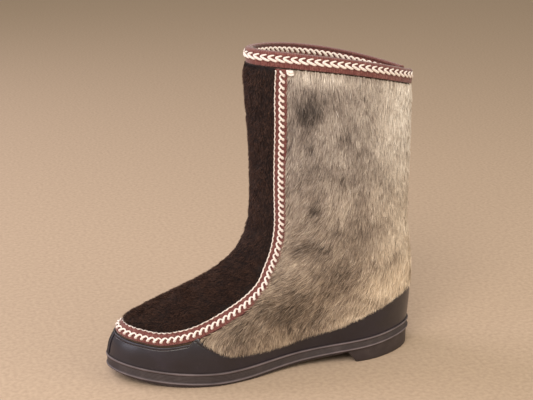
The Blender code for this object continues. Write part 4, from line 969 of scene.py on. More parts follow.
for name, mirrored in (("left", 0), ("right", 1)):
    # The panel's skin: a grid between its four edges, raised by the undercoat's height, lower at every edge
    rise = np.linspace(0, 1, 84)[:, None]
    turn = np.linspace(0, 1, 64)[None, :]
    front_foot = rand_line(math.radians(127.0), RAND_GAP)
    front_top = below_collar(np.radians([137.0]), COLLAR_RIBBON_DROP + EDGE_GAP)[0]
    right = seam_at(front_foot + (front_top - front_foot) * rise, RIBBON_WIDTH / 2 + EDGE_GAP)
    back_foot = rand_line(0.1, RAND_GAP)
    left = from_zip((back_foot + (1 - 0.055 - back_foot) * rise)[:, 0], SLOT_WIDTH / 2 + EDGE_GAP)[:, None]
    theta = left + (right - left) * turn
    low_up = rand_line(theta[:1], RAND_GAP)
    high_up = below_collar(theta[-1:], COLLAR_RIBBON_DROP + EDGE_GAP)
    up = low_up + (high_up - low_up) * rise
    left = from_zip(up.ravel(), SLOT_WIDTH / 2 + EDGE_GAP).reshape(up.shape)
    theta = left * (1 - turn) + turn * seam_at(up, RIBBON_WIDTH / 2 + EDGE_GAP)
    stand = np.clip(np.min(np.stack(panel_edges(theta, up)), 0) / 0.004, 0, 1)
    surface = form(theta, up)
    lift = FUR_LAY + 0.0003 + 0.0008 * stand + 0.0004 * stand * soft_noise(surface, 0.004, 31)
    side_theta = 2 * math.pi - theta if mirrored else theta
    outer = skin(side_theta, up, lift)
    inner = skin(side_theta, up, np.full(theta.shape, FUR_LAY))
    panel = add_wall("undercoat_" + name, outer, inner, undercoat)
    tone = coat_tone(surface.reshape(-1, 3), theta.ravel(), up.ravel(), mirrored)
    store(panel, "paleness", np.concatenate([tone, tone]))
    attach(panel, "boot")
    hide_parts("side_fur_" + name)

    # Hairs: sown over the panel and combed down, swept forward at the ankle, with locks that part and meet
    root_theta, root_up = sown(SIDE_HAIRS, (0.05, 0.05), (2.6, 1.0),
                               lambda t, u: np.min(np.stack(panel_edges(t, u)), 0) > -0.0004)
    root = form(root_theta, root_up)
    to_zip, to_seam, to_rand, to_collar = panel_edges(root_theta, root_up)
    sweep = 0.55 * np.exp(-((root_up - 0.62) / 0.16)**2) * np.clip((root_theta - 1.2) / 0.8, 0, 1)
    heading = 0.08 + sweep + 0.6 * (soft_noise(root, 0.024, 41) - 0.5)
    heading = heading + 0.5 * (soft_noise(root, 0.0055, 42) - 0.5)
    heading += chance.normal(0, 0.13, len(root))
    side_limit = np.clip(to_seam / 0.010, 0, 1) * np.clip(to_zip / 0.010, 0, 1)
    heading = heading * (0.25 + 0.75 * side_limit)
    # Beside the ribbon the hairs lean over its edge
    beside_ribbon = np.clip(1 - to_seam / 0.0035, 0, 1)
    heading += beside_ribbon * chance.uniform(0.20, 0.48, len(root))
    length = HAIR_LENGTH * chance.uniform(0.7, 1.15, len(root)) * (0.65 + 0.35 * side_limit)
    over_rand = to_rand + HAIR_OVERHANG * chance.uniform(0.4, 1.0, len(root))
    length = np.where(to_rand < length - HAIR_OVERHANG, over_rand, length)
    stand = 0.35 + 0.65 * np.clip(to_zip / 0.005, 0, 1)
    stand = stand * (0.85 + 0.15 * np.clip(np.minimum(to_collar, to_seam) / 0.004, 0, 1))
    locks = soft_noise(root, 0.0030, 43)
    base_lift = FUR_LAY + 0.0014 * stand
    middle_lift = FUR_LAY + (PILE - 0.0012) * stand * (0.72 + 0.35 * locks)
    tip_lift = FUR_LAY + (PILE - 0.0004) * stand * (0.62 + 0.45 * locks)
    tip_lift = tip_lift + chance.normal(0, 0.00025, len(root))
    # Hairs that reach the rand or the ribbon lie on top of it
    rand_top = LAY + RAND_THICKNESS
    tip_lift = np.where(to_rand < length, np.maximum(tip_lift, rand_top + 0.0006), tip_lift)
    middle_lift = np.where(to_rand < length, np.maximum(middle_lift, rand_top + 0.0009), middle_lift)
    over_ribbon = FUR_LAY + RIBBON_THICKNESS + 0.0005
    middle_lift = np.where(to_seam < 0.005, np.maximum(middle_lift, over_ribbon), middle_lift)
    tip_lift = np.where(to_seam < 0.005, np.maximum(tip_lift, over_ribbon), tip_lift)
    width = HAIR_WIDTH * chance.uniform(0.7, 1.3, len(root))
    twist = chance.normal(0, 0.45, len(root))
    hair_theta = 2 * math.pi - root_theta if mirrored else root_theta
    hair = comb("seal_hair_" + name, hair_theta, root_up, -heading if mirrored else heading, length,
                (base_lift, middle_lift, tip_lift), width, twist, seal_hair)
    tone = coat_tone(root, root_theta, root_up, mirrored)
    tone += 0.06 * (locks - 0.5) + chance.normal(0, 0.10, len(root))
    store(hair, "paleness", tone[:, None] + np.array([-0.12, -0.12, 0.0, 0.0, 0.10])[None, :])
    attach(hair, "boot")

# Front fur
# Very dark brown plush from the collar to the toe, over the inner margin of the ribbon: short, dense and
# upright, with a soft brown bloom where it is seen from the side.
FRONT_HAIRS = 48000
PLUSH_LENGTH = 0.0052
PLUSH_WIDTH = 0.00038
PLUSH_OVERLAP = 0.0036
# Dyed plush: near black, matt, with a brown sheen, which is shader sheen and also painted sheen on paler hair
# tips
plush, tree, shader = new_finish("dark_plush", {"Roughness": 0.7, "IOR": 1.55, "Specular IOR Level": 0.18,
                                                "Sheen Weight": 1.0, "Sheen Roughness": 0.3,
                                                "Sheen Tint": srgb("#a8745a")})
paleness = add_node(tree, "Attribute", attribute_name="paleness")
coat = add_node(tree, "ValToRGB", {"Fac": paleness.outputs["Fac"]},
                [(0.0, "#0f0a0a"), (1.0, "#7d5a48"), (0.35, "#201616"), (0.7, "#4a342c")])
set_inputs(shader, {"Base Color": coat})

# The plush's edge over the ribbon: up the side from where it turns, and round the toe from there
turning = int(np.argmax(seam_up[:HALF_SEAM] < seam_up.min() + 0.035))
inner_theta, inner_up = ribbon_side(-RIBBON_WIDTH / 2 + PLUSH_OVERLAP)
side_theta, side_up = inner_theta[turning::-1], inner_up[turning::-1]
toe_theta, toe_up = inner_theta[turning:], inner_up[turning:]


def front_edges(theta, up):
    """Distances from a point of the front panel to its ribbon, its toe and the collar, both halves alike."""
    folded = np.where(theta > math.pi, 2 * math.pi - theta, theta)
    round_it, up_it = slopes(folded, up)
    side = np.interp(up, side_up, side_theta)
    toe = np.where(folded < toe_theta[0], toe_up[0], np.interp(folded, toe_theta, toe_up))
    return ((folded - side) * np.linalg.norm(round_it, axis=-1), (up - toe) * np.linalg.norm(up_it, axis=-1),
            (below_collar(folded, COLLAR_RIBBON_DROP + GAP) - up) * np.linalg.norm(up_it, axis=-1))


rise = np.linspace(0, 1, 120)[:, None]
turn = np.linspace(-1, 1, 61)[None, :]
top_up = below_collar(np.array([math.pi]), COLLAR_RIBBON_DROP + GAP)[0]
reach = np.interp(side_up[0] + (top_up - side_up[0]) * rise, side_up, side_theta)
theta = math.pi + (math.pi - reach) * turn
folded = np.where(theta > math.pi, 2 * math.pi - theta, theta)
# Straight lines of places between the two ends, so that the lowest row follows the toe
low_up = np.interp(folded[:1], toe_theta, toe_up)
high_up = below_collar(folded[-1:], COLLAR_RIBBON_DROP + GAP)
up = low_up + (high_up - low_up) * rise
theta = math.pi + (math.pi - np.interp(up, side_up, side_theta)) * turn
to_seam, to_toe, to_collar = front_edges(theta, up)
edge = np.minimum(to_seam, to_toe)
stand = np.clip(np.minimum(edge, to_collar) / 0.005, 0, 1)
surface = form(theta, up)
over_ribbon = np.clip((PLUSH_OVERLAP + EDGE_GAP - edge) / 0.001, 0, 1)
tufts = soft_noise(surface, 0.003, 51)
lift = FUR_LAY + 0.0016 + 0.0003 * over_ribbon + 0.0008 * stand + 0.0004 * stand * tufts
outer = skin(theta, up, lift)
inner = skin(theta, up, FUR_LAY + (RIBBON_THICKNESS + 0.0002) * over_ribbon)
front_panel = add_wall("front_plush", outer, inner, plush)
tone = 0.20 + 0.2 * (soft_noise(surface, 0.006, 52).ravel() - 0.5)
store(front_panel, "paleness", np.concatenate([tone, tone]))
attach(front_panel, "boot")
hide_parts("front_fur")

root_theta, root_up = sown(FRONT_HAIRS, (2.0, 0.17), (2 * math.pi - 2.0, 1.0),
                           lambda t, u: np.minimum.reduce(front_edges(t, u)) > 0)
root = form(root_theta, root_up)
to_seam, to_toe, to_collar = front_edges(root_theta, root_up)
edge = np.minimum(to_seam, to_toe)
stand = 0.70 + 0.30 * np.clip(np.minimum(edge, to_collar) / 0.005, 0, 1)
locks = soft_noise(root, 0.0045, 53)
heading = 1.2 * (soft_noise(root, 0.008, 54) - 0.5) + chance.normal(0, 0.25, len(root))
heading = heading * np.clip(edge / 0.006, 0.15, 1)
length = PLUSH_LENGTH * chance.uniform(0.6, 1.1, len(root)) * (0.6 + 0.4 * np.clip(edge / 0.005, 0, 1))
length = np.minimum(length, np.maximum(to_toe + 0.0008, 0.0016))
base_lift = FUR_LAY + np.full(len(root), 0.0018)
middle_lift = FUR_LAY + 0.0034 * stand * (0.8 + 0.3 * locks)
tip_lift = FUR_LAY + 0.0046 * stand * (0.75 + 0.35 * locks) + chance.normal(0, 0.0004, len(root))
width = PLUSH_WIDTH * chance.uniform(0.7, 1.3, len(root))
twist = chance.normal(0, 0.7, len(root))
front_hair = comb("dark_plush_hair", root_theta, root_up, heading, length, (base_lift, middle_lift, tip_lift),
                  width, twist, plush)
tone = 0.28 + 0.22 * (locks - 0.5) + chance.normal(0, 0.12, len(root))
# Hair tips painted paler brown as painted sheen, for the brown glow at the plush's edges; roots darker
store(front_hair, "paleness", tone[:, None] + np.array([-0.30, -0.30, 0.0, 0.0, 0.45])[None, :])
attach(front_hair, "boot")

# Vamp ribbon
# A woven wool ribbon in red-brown, sewn over the join of front and side fur. Two rows of cream yarn lie on
# it: a narrow wavy one along the dark fur, and a broad hooked chain. Its ends go under the collar ribbon.

# Stitches of yarn, one repeat each: along and across as shares of the repeat and of the row's half width,
# height as a share of the yarn, and thickness as a share of the yarn
HOOKED_CHAIN = np.array([
    (0.00, -1.00, 0.15, 0.85), (0.20, -0.80, 0.40, 1.05), (0.45, -0.20, 0.55, 1.25), (0.70, 0.45, 0.45, 1.20),
    (0.88, 0.95, 0.20, 1.00), (0.80, 1.12, -0.05, 0.80), (0.62, 0.80, -0.10, 0.75), (0.66, 0.10, -0.10, 0.75),
    (0.78, -0.60, 0.00, 0.80),
])
ARROW_CHAIN = np.array([
    (0.78, -1.00, 0.10, 0.70), (0.40, -0.72, 0.35, 0.85), (0.08, -0.30, 0.50, 1.00), (0.18, 0.12, 0.50, 1.20),
    (0.55, 0.60, 0.45, 1.30), (0.98, 1.00, 0.20, 1.15), (1.18, 0.90, -0.45, 0.80), (1.25, 0.20, -0.55, 0.70),
    (1.42, -0.60, -0.35, 0.70),
])
WAVY_EDGE = np.array([
    (0.00, -0.60, 0.10, 0.90), (0.25, 0.20, 0.20, 1.10), (0.50, 0.60, 0.10, 0.95), (0.75, -0.10, 0.15, 1.00),
])


def yarn_path(stitch, pitch, length, half_width, fine):
    """A yarn's line on flat cloth: the stitch repeated along the length, joined by one smooth curve."""
    count = int(length / pitch)
    knots = np.concatenate([stitch + [k, 0, 0, 0] for k in range(count)])
    knots[:, 0] *= length / count
    knots[:, 1] *= half_width
    places = np.arange(len(knots), dtype=float)
    return curve_through(np.linspace(0, len(knots) - 1, (len(knots) - 1) * fine + 1), places, knots)


def yarn_tube(name, line, out, thickness, finish, sides=6):
    """A yarn laid along a line of points: rings across it, a little flatter than round, shut at both ends."""
    along = unit(np.gradient(line, axis=0))
    side = unit(np.cross(out, along))
    over = np.cross(along, side)
    a = np.linspace(0, 2 * math.pi, sides + 1)[:-1]
    radius = thickness[:, None, None] / 2
    radius[[0, -1]] *= 0.05
    rings = line[:, None, :] + radius * (np.cos(a)[None, :, None] * side[:, None, :]
                                         + 0.8 * np.sin(a)[None, :, None] * over[:, None, :])
    return add_mesh(name, rings, many_faces(1, len(line), sides), finish)


# Wool ribbon: matt, woven in ribs 1 mm apart along its length, red-brown with dark selvedges and grey flecks,
# and with painted shade just inside the collar's fold
wool_ribbon, tree, shader = new_finish("wool_ribbon", {"Roughness": 0.9, "Specular IOR Level": 0.15,
                                                       "Sheen Weight": 0.35, "Sheen Roughness": 0.45})
cloth = add_node(tree, "UVMap", uv_map="cloth")
place = add_node(tree, "TexCoord").outputs["Object"]
fleck = add_node(tree, "TexNoise", {"Vector": place, "Scale": 480.0, "Detail": 5.0, "Roughness": 0.75})
yarn_tone = add_node(tree, "ValToRGB", {"Fac": fleck},
                     [(0.25, "#552c2b"), (0.75, "#a0726a"), (0.5, "#784844")])
ribs = add_node(tree, "TexWave", {"Vector": cloth, "Scale": 160.0, "Distortion": 1.5,
                                  "Detail": 2.0, "Detail Scale": 3.0}, wave_type="BANDS", bands_direction="X")
picks = add_node(tree, "TexWave", {"Vector": cloth, "Scale": 330.0, "Distortion": 1.0},
                 wave_type="BANDS", bands_direction="Y")
# Dark selvedges on the vamp ribbon, and painted shade inside the collar's fold
selvedge_and_shade = add_node(tree, "Attribute", attribute_name="selvedge_and_shade")
dark_edge = add_node(tree, "Mix", {"Factor": selvedge_and_shade.outputs["Fac"], "A": yarn_tone,
                                   "B": srgb("#331c1b")}, data_type="RGBA")
rib_shade = add_node(tree, "MapRange", {"Value": ribs.outputs["Fac"], "To Min": 0.25, "To Max": 0.0})
shaded = add_node(tree, "Mix", {"Factor": rib_shade, "A": dark_edge, "B": srgb("#2a1413")}, data_type="RGBA")
press = add_node(tree, "Bump", {"Height": ribs.outputs["Fac"], "Strength": 0.5, "Distance": 0.0005})
press_picks = add_node(tree, "Bump", {"Height": picks.outputs["Fac"], "Strength": 0.4, "Distance": 0.0003,
                                      "Normal": press})
set_inputs(shader, {"Base Color": shaded, "Normal": press_picks})
# Cream wool yarn: thick, loosely plied and matt, ivory with a pink cast
cream_yarn, tree, shader = new_finish("cream_yarn", {"Roughness": 0.88, "Specular IOR Level": 0.2,
                                                     "Sheen Weight": 0.3, "Sheen Roughness": 0.5})
place = add_node(tree, "TexCoord").outputs["Object"]
ply = add_node(tree, "TexNoise", {"Vector": place, "Scale": 1300.0, "Detail": 3.0})
tint = add_node(tree, "ValToRGB", {"Fac": ply}, [(0.25, "#d6c2ba"), (0.75, "#fffaf6"), (0.5, "#f2e7e1")])
press = add_node(tree, "Bump", {"Height": ply, "Strength": 0.6, "Distance": 0.0004})
set_inputs(shader, {"Base Color": tint, "Normal": press})


def add_cloth_map(piece, along, across):
    """A UV map in metres, along and across the cloth of a wall, for patterns that follow it on both faces."""
    layer = piece.data.uv_layers.new(name="cloth")
    corner = np.empty(len(piece.data.loops), np.int32)
    piece.data.loops.foreach_get("vertex_index", corner)
    place = np.stack([part.ravel() for part in np.broadcast_arrays(along, across)], 1)
    layer.data.foreach_set("uv", np.tile(place, (2, 1))[corner].astype(np.float32).ravel())


def on_ribbon(run, across, lift):
    """A point on the vamp ribbon: so far along its seam, so far across it to the side fur, raised by lift."""
    theta = np.interp(run, seam_run, seam_theta) + across * np.interp(run, seam_run, seam_side[0])
    up = np.interp(run, seam_run, seam_up) + across * np.interp(run, seam_run, seam_side[1])
    return skin(theta, up, lift), outward(theta, up)


along, width = np.meshgrid(np.linspace(0, seam_run[-1], 460),
                           np.linspace(-RIBBON_WIDTH / 2, RIBBON_WIDTH / 2, 19), indexing="ij")
share = np.abs(width) / (RIBBON_WIDTH / 2)
round_edge = np.sqrt(np.clip(1 - np.clip((share - 0.86) / 0.14, 0, 1)**2, 0, 1))
outer = on_ribbon(along, width, FUR_LAY + 0.0003 + (RIBBON_THICKNESS - 0.0004) * round_edge)[0]
inner = on_ribbon(along, width, np.full(along.shape, FUR_LAY))[0]
ribbon = add_wall("woven_ribbon", outer, inner, wool_ribbon)
add_cloth_map(ribbon, along, width)
edge_tone = np.clip((share - 0.88) / 0.10, 0, 1) * 0.8
store(ribbon, "selvedge_and_shade", np.stack([edge_tone, edge_tone]))
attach(ribbon, "boot")
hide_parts("vamp_ribbon")

# name, stitch, repeat, middle of the row across the ribbon, half its width, thickness of the yarn
for name, stitch, pitch, middle, half, thick in (
        ("chain_row", HOOKED_CHAIN, 0.0053, 0.0023, 0.0017, 0.00165),
        ("edge_row", WAVY_EDGE, 0.0048, -0.0032, 0.0005, 0.00120)):
    path = yarn_path(stitch, pitch, seam_run[-1] - 0.002, half, 3)
    bed = FUR_LAY + RIBBON_THICKNESS
    lift = bed + path[:, 2] * thick * 0.8 + thick * 0.15
    line, out = on_ribbon(path[:, 0] + 0.001, path[:, 1] + middle, lift)
    yarn = yarn_tube("ribbon_" + name, line, out, thick * path[:, 3], cream_yarn)
    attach(yarn, "boot")

# Collar ribbon
# The same ribbon folded over the top edge and sewn through, from one side of the zip to the other. A row of
# arrow stitches runs along its outer edge and a hooked chain inside, over a narrow binding on the lining.
YARN_THICKNESS = 0.00175
collar_start = from_zip(np.ones(1), SLOT_WIDTH / 2 + GAP)[0]
rim_theta = np.linspace(collar_start, 2 * math.pi - collar_start, 1201)
rim_run = run_along(form(rim_theta, 1.0))


def on_collar(run, drop, lift):
    """A point near the collar: so far round it, so far below the edge, or above it where drop is negative."""
    theta = np.interp(run, rim_run, rim_theta)
    up = np.minimum(below_collar(theta, drop), 1.0)
    climb = unit(slopes(theta, up)[1])
    return skin(theta, up, lift) + np.maximum(-drop, 0)[..., None] * climb, outward(theta, up)


def fold_profile(outside, inside):
    """Lift and drop of one face of the fold, from outside over the edge to inside, by its two end lifts."""
    bend = np.linspace(0, math.pi, 9)[1:-1]
    wide = UPPER_WALL / 2 + outside
    return np.concatenate([
        np.stack([np.full(16, outside), np.linspace(COLLAR_RIBBON_DROP, 0.0, 16)], 1),
        np.stack([-UPPER_WALL / 2 + wide * np.cos(bend), -outside * np.sin(bend)], 1),
        np.stack([np.full(16, inside), np.linspace(0.0, COLLAR_RIBBON_DROP, 16)], 1)])


over = UPPER_WALL + LAY
full = LAY + RIBBON_THICKNESS
fold_outer = fold_profile(full, -over - RIBBON_THICKNESS)
run = np.linspace(0, rim_run[-1], 300)[None, :]
grids = []
for profile in (fold_outer, fold_profile(LAY, -over)):
    grids.append(on_collar(run + 0 * profile[:, :1], profile[:, 1:] + 0 * run, profile[:, :1] + 0 * run)[0])
collar = add_wall("collar_binding", *grids, wool_ribbon)
add_cloth_map(collar, run, run_along(fold_outer)[:, None])
# Painted shade: the binding's inner face darkened just below the collar's top edge
inside_fold_shade = np.clip(1 - np.abs(fold_outer[:, 1]) / 0.0016, 0, 1) * (fold_outer[:, 0] < -UPPER_WALL / 2)
inside_fold_shade = np.broadcast_to(inside_fold_shade[:, None] * 0.8, grids[0].shape[:2])
store(collar, "selvedge_and_shade", np.stack([inside_fold_shade, inside_fold_shade]))
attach(collar, "boot")
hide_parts("collar_ribbon")

path = yarn_path(ARROW_CHAIN, 0.0061, rim_run[-1] - 0.008, 0.0023, 3)
lift = full + path[:, 2] * 0.0010 + 0.0003
line, out = on_collar(rim_run[-1] - 0.002 - path[:, 0], path[:, 1] + 0.0031, lift)
yarn = yarn_tube("collar_chain_outside", line, out, YARN_THICKNESS * path[:, 3], cream_yarn)
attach(yarn, "boot")
path = yarn_path(HOOKED_CHAIN, 0.0056, rim_run[-1] - 0.006, 0.0018, 3)
lift = -over - RIBBON_THICKNESS - path[:, 2] * 0.0010 - 0.0003
line, out = on_collar(path[:, 0] + 0.002, path[:, 1] + 0.0037, lift)
yarn = yarn_tube("collar_chain_inside", line, -out, YARN_THICKNESS * path[:, 3], cream_yarn)
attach(yarn, "boot")

# A narrow rolled binding of cream cloth finishes the lining under the ribbon's inner edge
run = np.linspace(0, rim_run[-1], 300)
line, out = on_collar(run, np.full(300, COLLAR_RIBBON_DROP + 0.0009), np.full(300, -over - 0.0011))
binding = yarn_tube("lining_binding", line, out, np.full(300, 0.0019), cream_yarn, 10)
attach(binding, "boot")

# Ribbon ends
# The vamp ribbon's cut ends are wrapped in a scrap of white cotton, whose corner peeps out under the collar
# ribbon.
END_PLACE = 0.0016
END_REACH = (0.0028, 0.0025)
for name, place_run in (("left", END_PLACE), ("right", seam_run[-1] - END_PLACE)):
    # A round patch of cloth, laid out as a square grid whose corners are drawn in, and crumpled
    u, v = np.meshgrid(np.linspace(-1, 1, 15), np.linspace(-1, 1, 15), indexing="ij")
    run = place_run + END_REACH[0] * u * np.sqrt(1 - 0.30 * v**2)
    across = RIBBON_WIDTH / 2 + 0.0010 + END_REACH[1] * v * np.sqrt(1 - 0.35 * u**2) + 0.0006 * u
    spot = on_ribbon(run, across, np.zeros(u.shape))[0]
    crumple = 0.0011 * soft_noise(spot, 0.0011, 61) - 0.0008 * (u**2 + v**2) / 2
    outer = on_ribbon(run, across, FUR_LAY + PILE + 0.0006 + crumple)[0]
    inner = on_ribbon(run, across, np.full(u.shape, FUR_LAY + PILE - 0.0012))[0]
    tab = add_wall("ribbon_end_" + name, outer, inner, cream_yarn)
    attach(tab, "boot")

# Zip tapes
# Two bands of dark herringbone polyester, sewn to the slot's edges, each with a corded edge beside the teeth.
CHAIN_WIDTH = 0.0036
TAPE_THICKNESS = 0.0010
SHAFT_RUN = 0.23
# Zip tape: woven polyester, matt and near black, with slanting ribs 0.7 mm apart and a trace of grey lint
tape_cloth, tree, shader = new_finish("zip_tape_cloth", {"Roughness": 0.85, "Specular IOR Level": 0.2,
                                                         "Sheen Weight": 0.05, "Sheen Roughness": 0.4})
cloth = add_node(tree, "UVMap", uv_map="cloth")
place = add_node(tree, "TexCoord").outputs["Object"]
lint = add_node(tree, "TexNoise", {"Vector": place, "Scale": 500.0, "Detail": 4.0})
tint = add_node(tree, "ValToRGB", {"Fac": lint}, [(0.3, "#151110"), (0.75, "#2c2523")])
twill = add_node(tree, "TexWave", {"Vector": cloth, "Scale": 320.0, "Distortion": 0.6},
                 wave_type="BANDS", bands_direction="DIAGONAL")
press = add_node(tree, "Bump", {"Height": twill.outputs["Fac"], "Strength": 0.6, "Distance": 0.0003})
set_inputs(shader, {"Base Color": tint, "Normal": press})
for name, side in (("left", 1), ("right", -1)):
    up = np.linspace(ZIP_FOOT + 0.005, 0.99, 120)[:, None]
    across = np.linspace(SLOT_WIDTH / 2 - GAP, CHAIN_WIDTH / 2 + GAP, 12)[None, :]
    theta = side * from_zip(up.ravel(), 1.0)[:, None] * across
    grid = np.broadcast_to(up, theta.shape)
    cord = 0.00045 * np.exp(-((across - 0.0031) / 0.0006)**2)
    outer = skin(theta, grid, -TAPE_THICKNESS / 2 + cord + 0 * grid)
    inner = skin(theta, grid, -TAPE_THICKNESS * 1.5 + 0 * grid)
    tape = add_wall("zip_cloth_" + name, outer, inner, tape_cloth)
    add_cloth_map(tape, grid * SHAFT_RUN, across)
    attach(tape, "boot")
    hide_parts("zip_tape_" + name)

# Zip teeth
# Stamped brass teeth, clamped in turn on the two tapes' edges and meshed down the middle of the back.
STOP_HEIGHT = 0.0025
TOOTH_PITCH = 0.0021
# A tooth's half sizes across, deep and high, and where its middle stands beside and under the form
TOOTH_HALF = (0.00118, 0.00095, 0.00046)
TOOTH_MIDDLE = (0.0006, -0.00085)
# Antique brass: brown oxide over yellow metal, rubbed bright on its high places
brass, tree, shader = new_finish("antique_brass", {"Metallic": 1.0})
place = add_node(tree, "TexCoord").outputs["Object"]
oxide = add_node(tree, "TexNoise", {"Vector": place, "Scale": 1100.0, "Detail": 5.0, "Roughness": 0.65})
tint = add_node(tree, "ValToRGB", {"Fac": oxide}, [(0.3, "#5a4a37"), (0.75, "#d2bb8a"), (0.52, "#97805c")])
dull = add_node(tree, "MapRange", {"Value": oxide, "From Min": 0.3, "From Max": 0.7,
                                   "To Min": 0.55, "To Max": 0.28})
press = add_node(tree, "Bump", {"Height": oxide, "Strength": 0.2, "Distance": 0.0003})
set_inputs(shader, {"Base Color": tint, "Roughness": dull, "Normal": press})


def above_zip_foot(distance):
    """Place up the form at a distance above the slot's lower end."""
    return ZIP_FOOT + distance / np.linalg.norm(slopes(0.0, ZIP_FOOT)[1])


def squared(turn, power):
    """A cosine or a sine with its curve drawn out towards a square, for superellipses."""
    return np.sign(turn) * np.abs(turn)**power


zip_up = np.linspace(above_zip_foot(STOP_HEIGHT + 3 * GAP), 0.985, 400)
zip_run = run_along(form(0.0, zip_up))
places = np.arange(TOOTH_PITCH / 2, zip_run[-1] - TOOTH_PITCH / 2, TOOTH_PITCH / 2)
up = np.interp(places, zip_run, zip_up)
side = np.where(np.arange(len(up)) % 2 == 0, 1.0, -1.0)
out = outward(np.zeros(len(up)), up)
climb = unit(slopes(np.zeros(len(up)), up)[1])
# One tooth: a superellipsoid, thinner at its head, in seven rings of twelve points
a = np.linspace(0, 2 * math.pi, 13)[:-1]
b = np.linspace(-1, 1, 7) * 0.96
reach = squared(b, 0.8)
wide = ((1 - np.abs(b)**4)**0.25)[None, :, None]
across = (TOOTH_MIDDLE[0] + TOOTH_HALF[0] * reach)[None, :, None] * side[:, None, None] + 0 * a[None, None, :]
deep = TOOTH_MIDDLE[1] + TOOTH_HALF[1] * wide * squared(np.cos(a), 0.5) + 0 * across
thin = (TOOTH_HALF[2] - 0.00008 * (reach < -0.2))[None, :, None]
high = thin * wide * squared(np.sin(a), 0.5) + 0 * across
middle = form(np.zeros(len(up)), up)[:, None, None, :]
points = middle + across[..., None] * np.array([0.0, 1.0, 0.0]) + deep[..., None] * out[:, None, None, :]
points = points + high[..., None] * climb[:, None, None, :]
teeth = add_mesh("zip_teeth", points, many_faces(len(up), 7, 12), brass)
teeth.data.set_sharp_from_angle(angle=math.radians(40))
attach(teeth, "boot")
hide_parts("zip_chain")

# Slider, pull and bottom stop
# Cast and stamped brass: a slider plate with a bridge over it, a leaf-shaped pull that hangs from the bridge
# by its bar, and a clip across the lowest teeth.
SLIDER_WIDTH = 0.0085
SLIDER_LENGTH = 0.0100
SLIDER_PLATE = 0.0013
SLIDER_DROP = 0.0185
BRIDGE_WIDTH = 0.0024
BRIDGE_LENGTH = 0.0074
BRIDGE_THICKNESS = 0.0012
EYE_HEIGHT = 0.0019
PULL_THICKNESS = 0.0011
PULL_LENGTH = 0.0275
PULL_WIDTH = 0.0080
PULL_WINDOW = 0.0072
PULL_CLEARANCE = 0.0005
PULL_HOLE_WIDTH = 0.0026
# The long hole's ends as shares of the pull's length, and the outline's half width and place as shares
PULL_HOLE = (0.90, 0.52)
PULL_ROWS = np.array([(0.85, 0.32), (0.55, 0.39), (0.85, 0.54), (1.00, 0.68), (0.92, 0.82), (0.60, 0.94),
                      (0.00, 1.00)])
PLATE_EDGE = 0.0003
CLIP_THICKNESS = 0.0012


def cast_plate(name, outlines, thickness, bevel, to_frame, finish):
    """A metal plate with rounded edges: a flat curve of one outline and its holes, made a mesh and placed.

    The outlines are in the plate's own width and height; to_frame is the matrix that puts it on the boot.
    """
    curve = bpy.data.curves.new(name + "_outline", "CURVE")
    curve.dimensions = "2D"
    curve.fill_mode = "BOTH"
    curve.extrude = thickness / 2 - bevel
    curve.bevel_depth = bevel
    curve.bevel_resolution = 3
    curve.offset = -bevel
    for outline in outlines:
        spline = curve.splines.new("POLY")
        spline.points.add(len(outline) - 1)
        spline.points.foreach_set("co", np.pad(outline, ((0, 0), (0, 2)), constant_values=0.0).ravel())
        spline.use_cyclic_u = True
    flat = bpy.data.objects.new(name + "_flat", curve)
    bpy.context.collection.objects.link(flat)
    shape = bpy.data.meshes.new_from_object(flat.evaluated_get(bpy.context.evaluated_depsgraph_get()))
    bpy.data.objects.remove(flat)
    shape.transform(to_frame)
    weld(shape, 1e-6)
    shape.materials.clear()
    shape.materials.append(finish)
    shape.shade_smooth()
    shape.set_sharp_from_angle(angle=math.radians(35))
    piece = bpy.data.objects.new(name, shape)
    bpy.context.collection.objects.link(piece)
    return piece


def zip_frame(up, lift):
    """A plate's own frame on the zip: width to +Y, height up the zip, thickness away from the boot."""
    spot = form(0.0, up)
    climb = slopes(0.0, up)[1]
    lean = math.atan2(climb[0], climb[2])
    away = np.array([-math.cos(lean), 0.0, math.sin(lean)])
    upward = np.array([math.sin(lean), 0.0, math.cos(lean)])
    frame = Matrix(np.column_stack([[0.0, -1.0, 0.0], upward, away]).tolist()).to_4x4()
    frame.translation = spot + away * lift
    return frame, spot, upward, away


slider_up = below_collar(np.zeros(1), SLIDER_DROP)[0]
slider_frame, slider_spot, upward, away = zip_frame(slider_up, 2 * GAP + SLIDER_PLATE / 2)
angle = np.linspace(0, 2 * math.pi, 65)[:-1]
oval = squared(np.cos(angle), 0.7) * SLIDER_WIDTH / 2
tall = squared(np.sin(angle), 0.6) * SLIDER_LENGTH / 2
taper = 1 - 0.30 * np.clip(-tall / SLIDER_LENGTH * 2 - 0.1, 0, 1)
plate_outline = np.stack([oval * taper, tall], 1)
plate = cast_plate("slider_plate", [plate_outline], SLIDER_PLATE, PLATE_EDGE, slider_frame, brass)
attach(plate, "boot")
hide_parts("zip_slider")

# Bridge: an arch over the pull's bar, a flat bar with rounded edges carried along half a superellipse
bend = np.linspace(0, math.pi, 41)
arch_height = SLIDER_PLATE + EYE_HEIGHT + BRIDGE_THICKNESS / 2
arch = np.stack([squared(np.cos(bend), 0.55) * (BRIDGE_LENGTH - BRIDGE_THICKNESS) / 2,
                 np.abs(np.sin(bend))**0.55 * (arch_height - 0.0007) + 0.0007], 1)
line = slider_spot + away * 2 * GAP + arch[:, :1] * upward + arch[:, 1:] * away
across = np.cross(unit(np.gradient(line, axis=0)), [0.0, 1.0, 0.0])
a = np.linspace(0, 2 * math.pi, 17)[:-1]
flat = np.stack([squared(np.cos(a), 0.4) * BRIDGE_WIDTH / 2,
                 squared(np.sin(a), 0.4) * BRIDGE_THICKNESS / 2], 1)
rings = (line[:, None, :] + flat[None, :, :1] * np.array([0.0, 1.0, 0.0])
         + flat[None, :, 1:] * across[:, None, :])
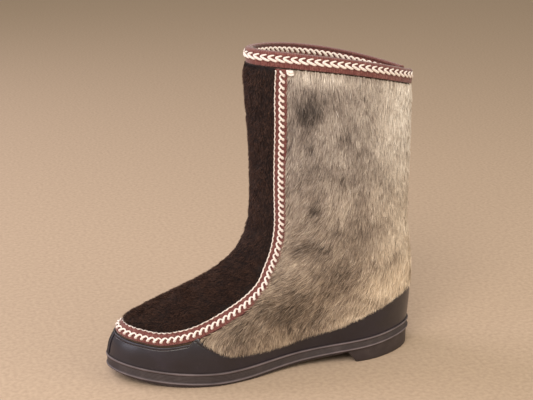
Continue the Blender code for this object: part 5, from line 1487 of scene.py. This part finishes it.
bridge = add_mesh("slider_bridge", rings, many_faces(1, 41, 16), brass)
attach(bridge, "boot")

# Pull: hangs straight down from its bar, flat to the back of the boot, and swings on the body of its own
bar = PULL_THICKNESS / 2
tall = np.linspace(PULL_ROWS[0, 1], 1, 40)
edge = np.clip(curve_through(tall, PULL_ROWS[:, 1], PULL_ROWS[:, 0]), 0, 1)
shoulder = PULL_ROWS[0, 0] * PULL_WIDTH / 2
half_side = np.concatenate([[(shoulder, bar)], np.stack([edge * PULL_WIDTH / 2, -tall * PULL_LENGTH], 1)])
outline = np.concatenate([half_side, half_side[-2::-1] * [-1, 1]])
clear = BRIDGE_WIDTH / 2 + PULL_CLEARANCE
turn = np.linspace(0, 2 * math.pi, 33)[:-1]
window = np.stack([squared(np.cos(turn), 0.3) * clear,
                   squared(np.sin(turn), 0.3) * (PULL_WINDOW - bar) / 2 - (PULL_WINDOW + bar) / 2], 1)
low, high = (-share * PULL_LENGTH for share in PULL_HOLE)
rim = PULL_HOLE_WIDTH / 2
turn = np.linspace(math.pi, 2 * math.pi, 13)
back = turn - math.pi
hole = np.concatenate([np.stack([rim * np.cos(turn), low + rim + rim * np.sin(turn)], 1),
                       np.stack([rim * np.cos(back), high - rim + rim * np.sin(back)], 1)])
pull_frame = Matrix(((0.0, 0.0, -1.0), (-1.0, 0.0, 0.0), (0.0, 1.0, 0.0))).to_4x4()
pull_frame.translation = ((pull_low.x + pull_high.x) / 2, (pull_low.y + pull_high.y) / 2, pull_high.z - bar)
pull = cast_plate("pull_leaf", [outline, window, hole], PULL_THICKNESS, PLATE_EDGE, pull_frame, brass)
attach(pull, "zip_pull")
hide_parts("zip_pull")

# Bottom stop: a folded clip, pressed on the two lowest teeth
stop_up = above_zip_foot(STOP_HEIGHT / 2 + GAP)
stop_frame = zip_frame(stop_up, GAP / 2 + CLIP_THICKNESS / 2)[0]
wide, tall = CHAIN_WIDTH * 0.8, STOP_HEIGHT / 2
clip = np.array([(-wide, -tall), (wide, -tall), (wide, tall), (0.0006, tall), (0.0004, tall - 0.0004),
                 (-0.0004, tall - 0.0004), (-0.0006, tall), (-wide, tall)])
stop = cast_plate("zip_clip", [clip], CLIP_THICKNESS, 0.00025, stop_frame, brass)
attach(stop, "boot")
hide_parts("zip_bottom_stop")
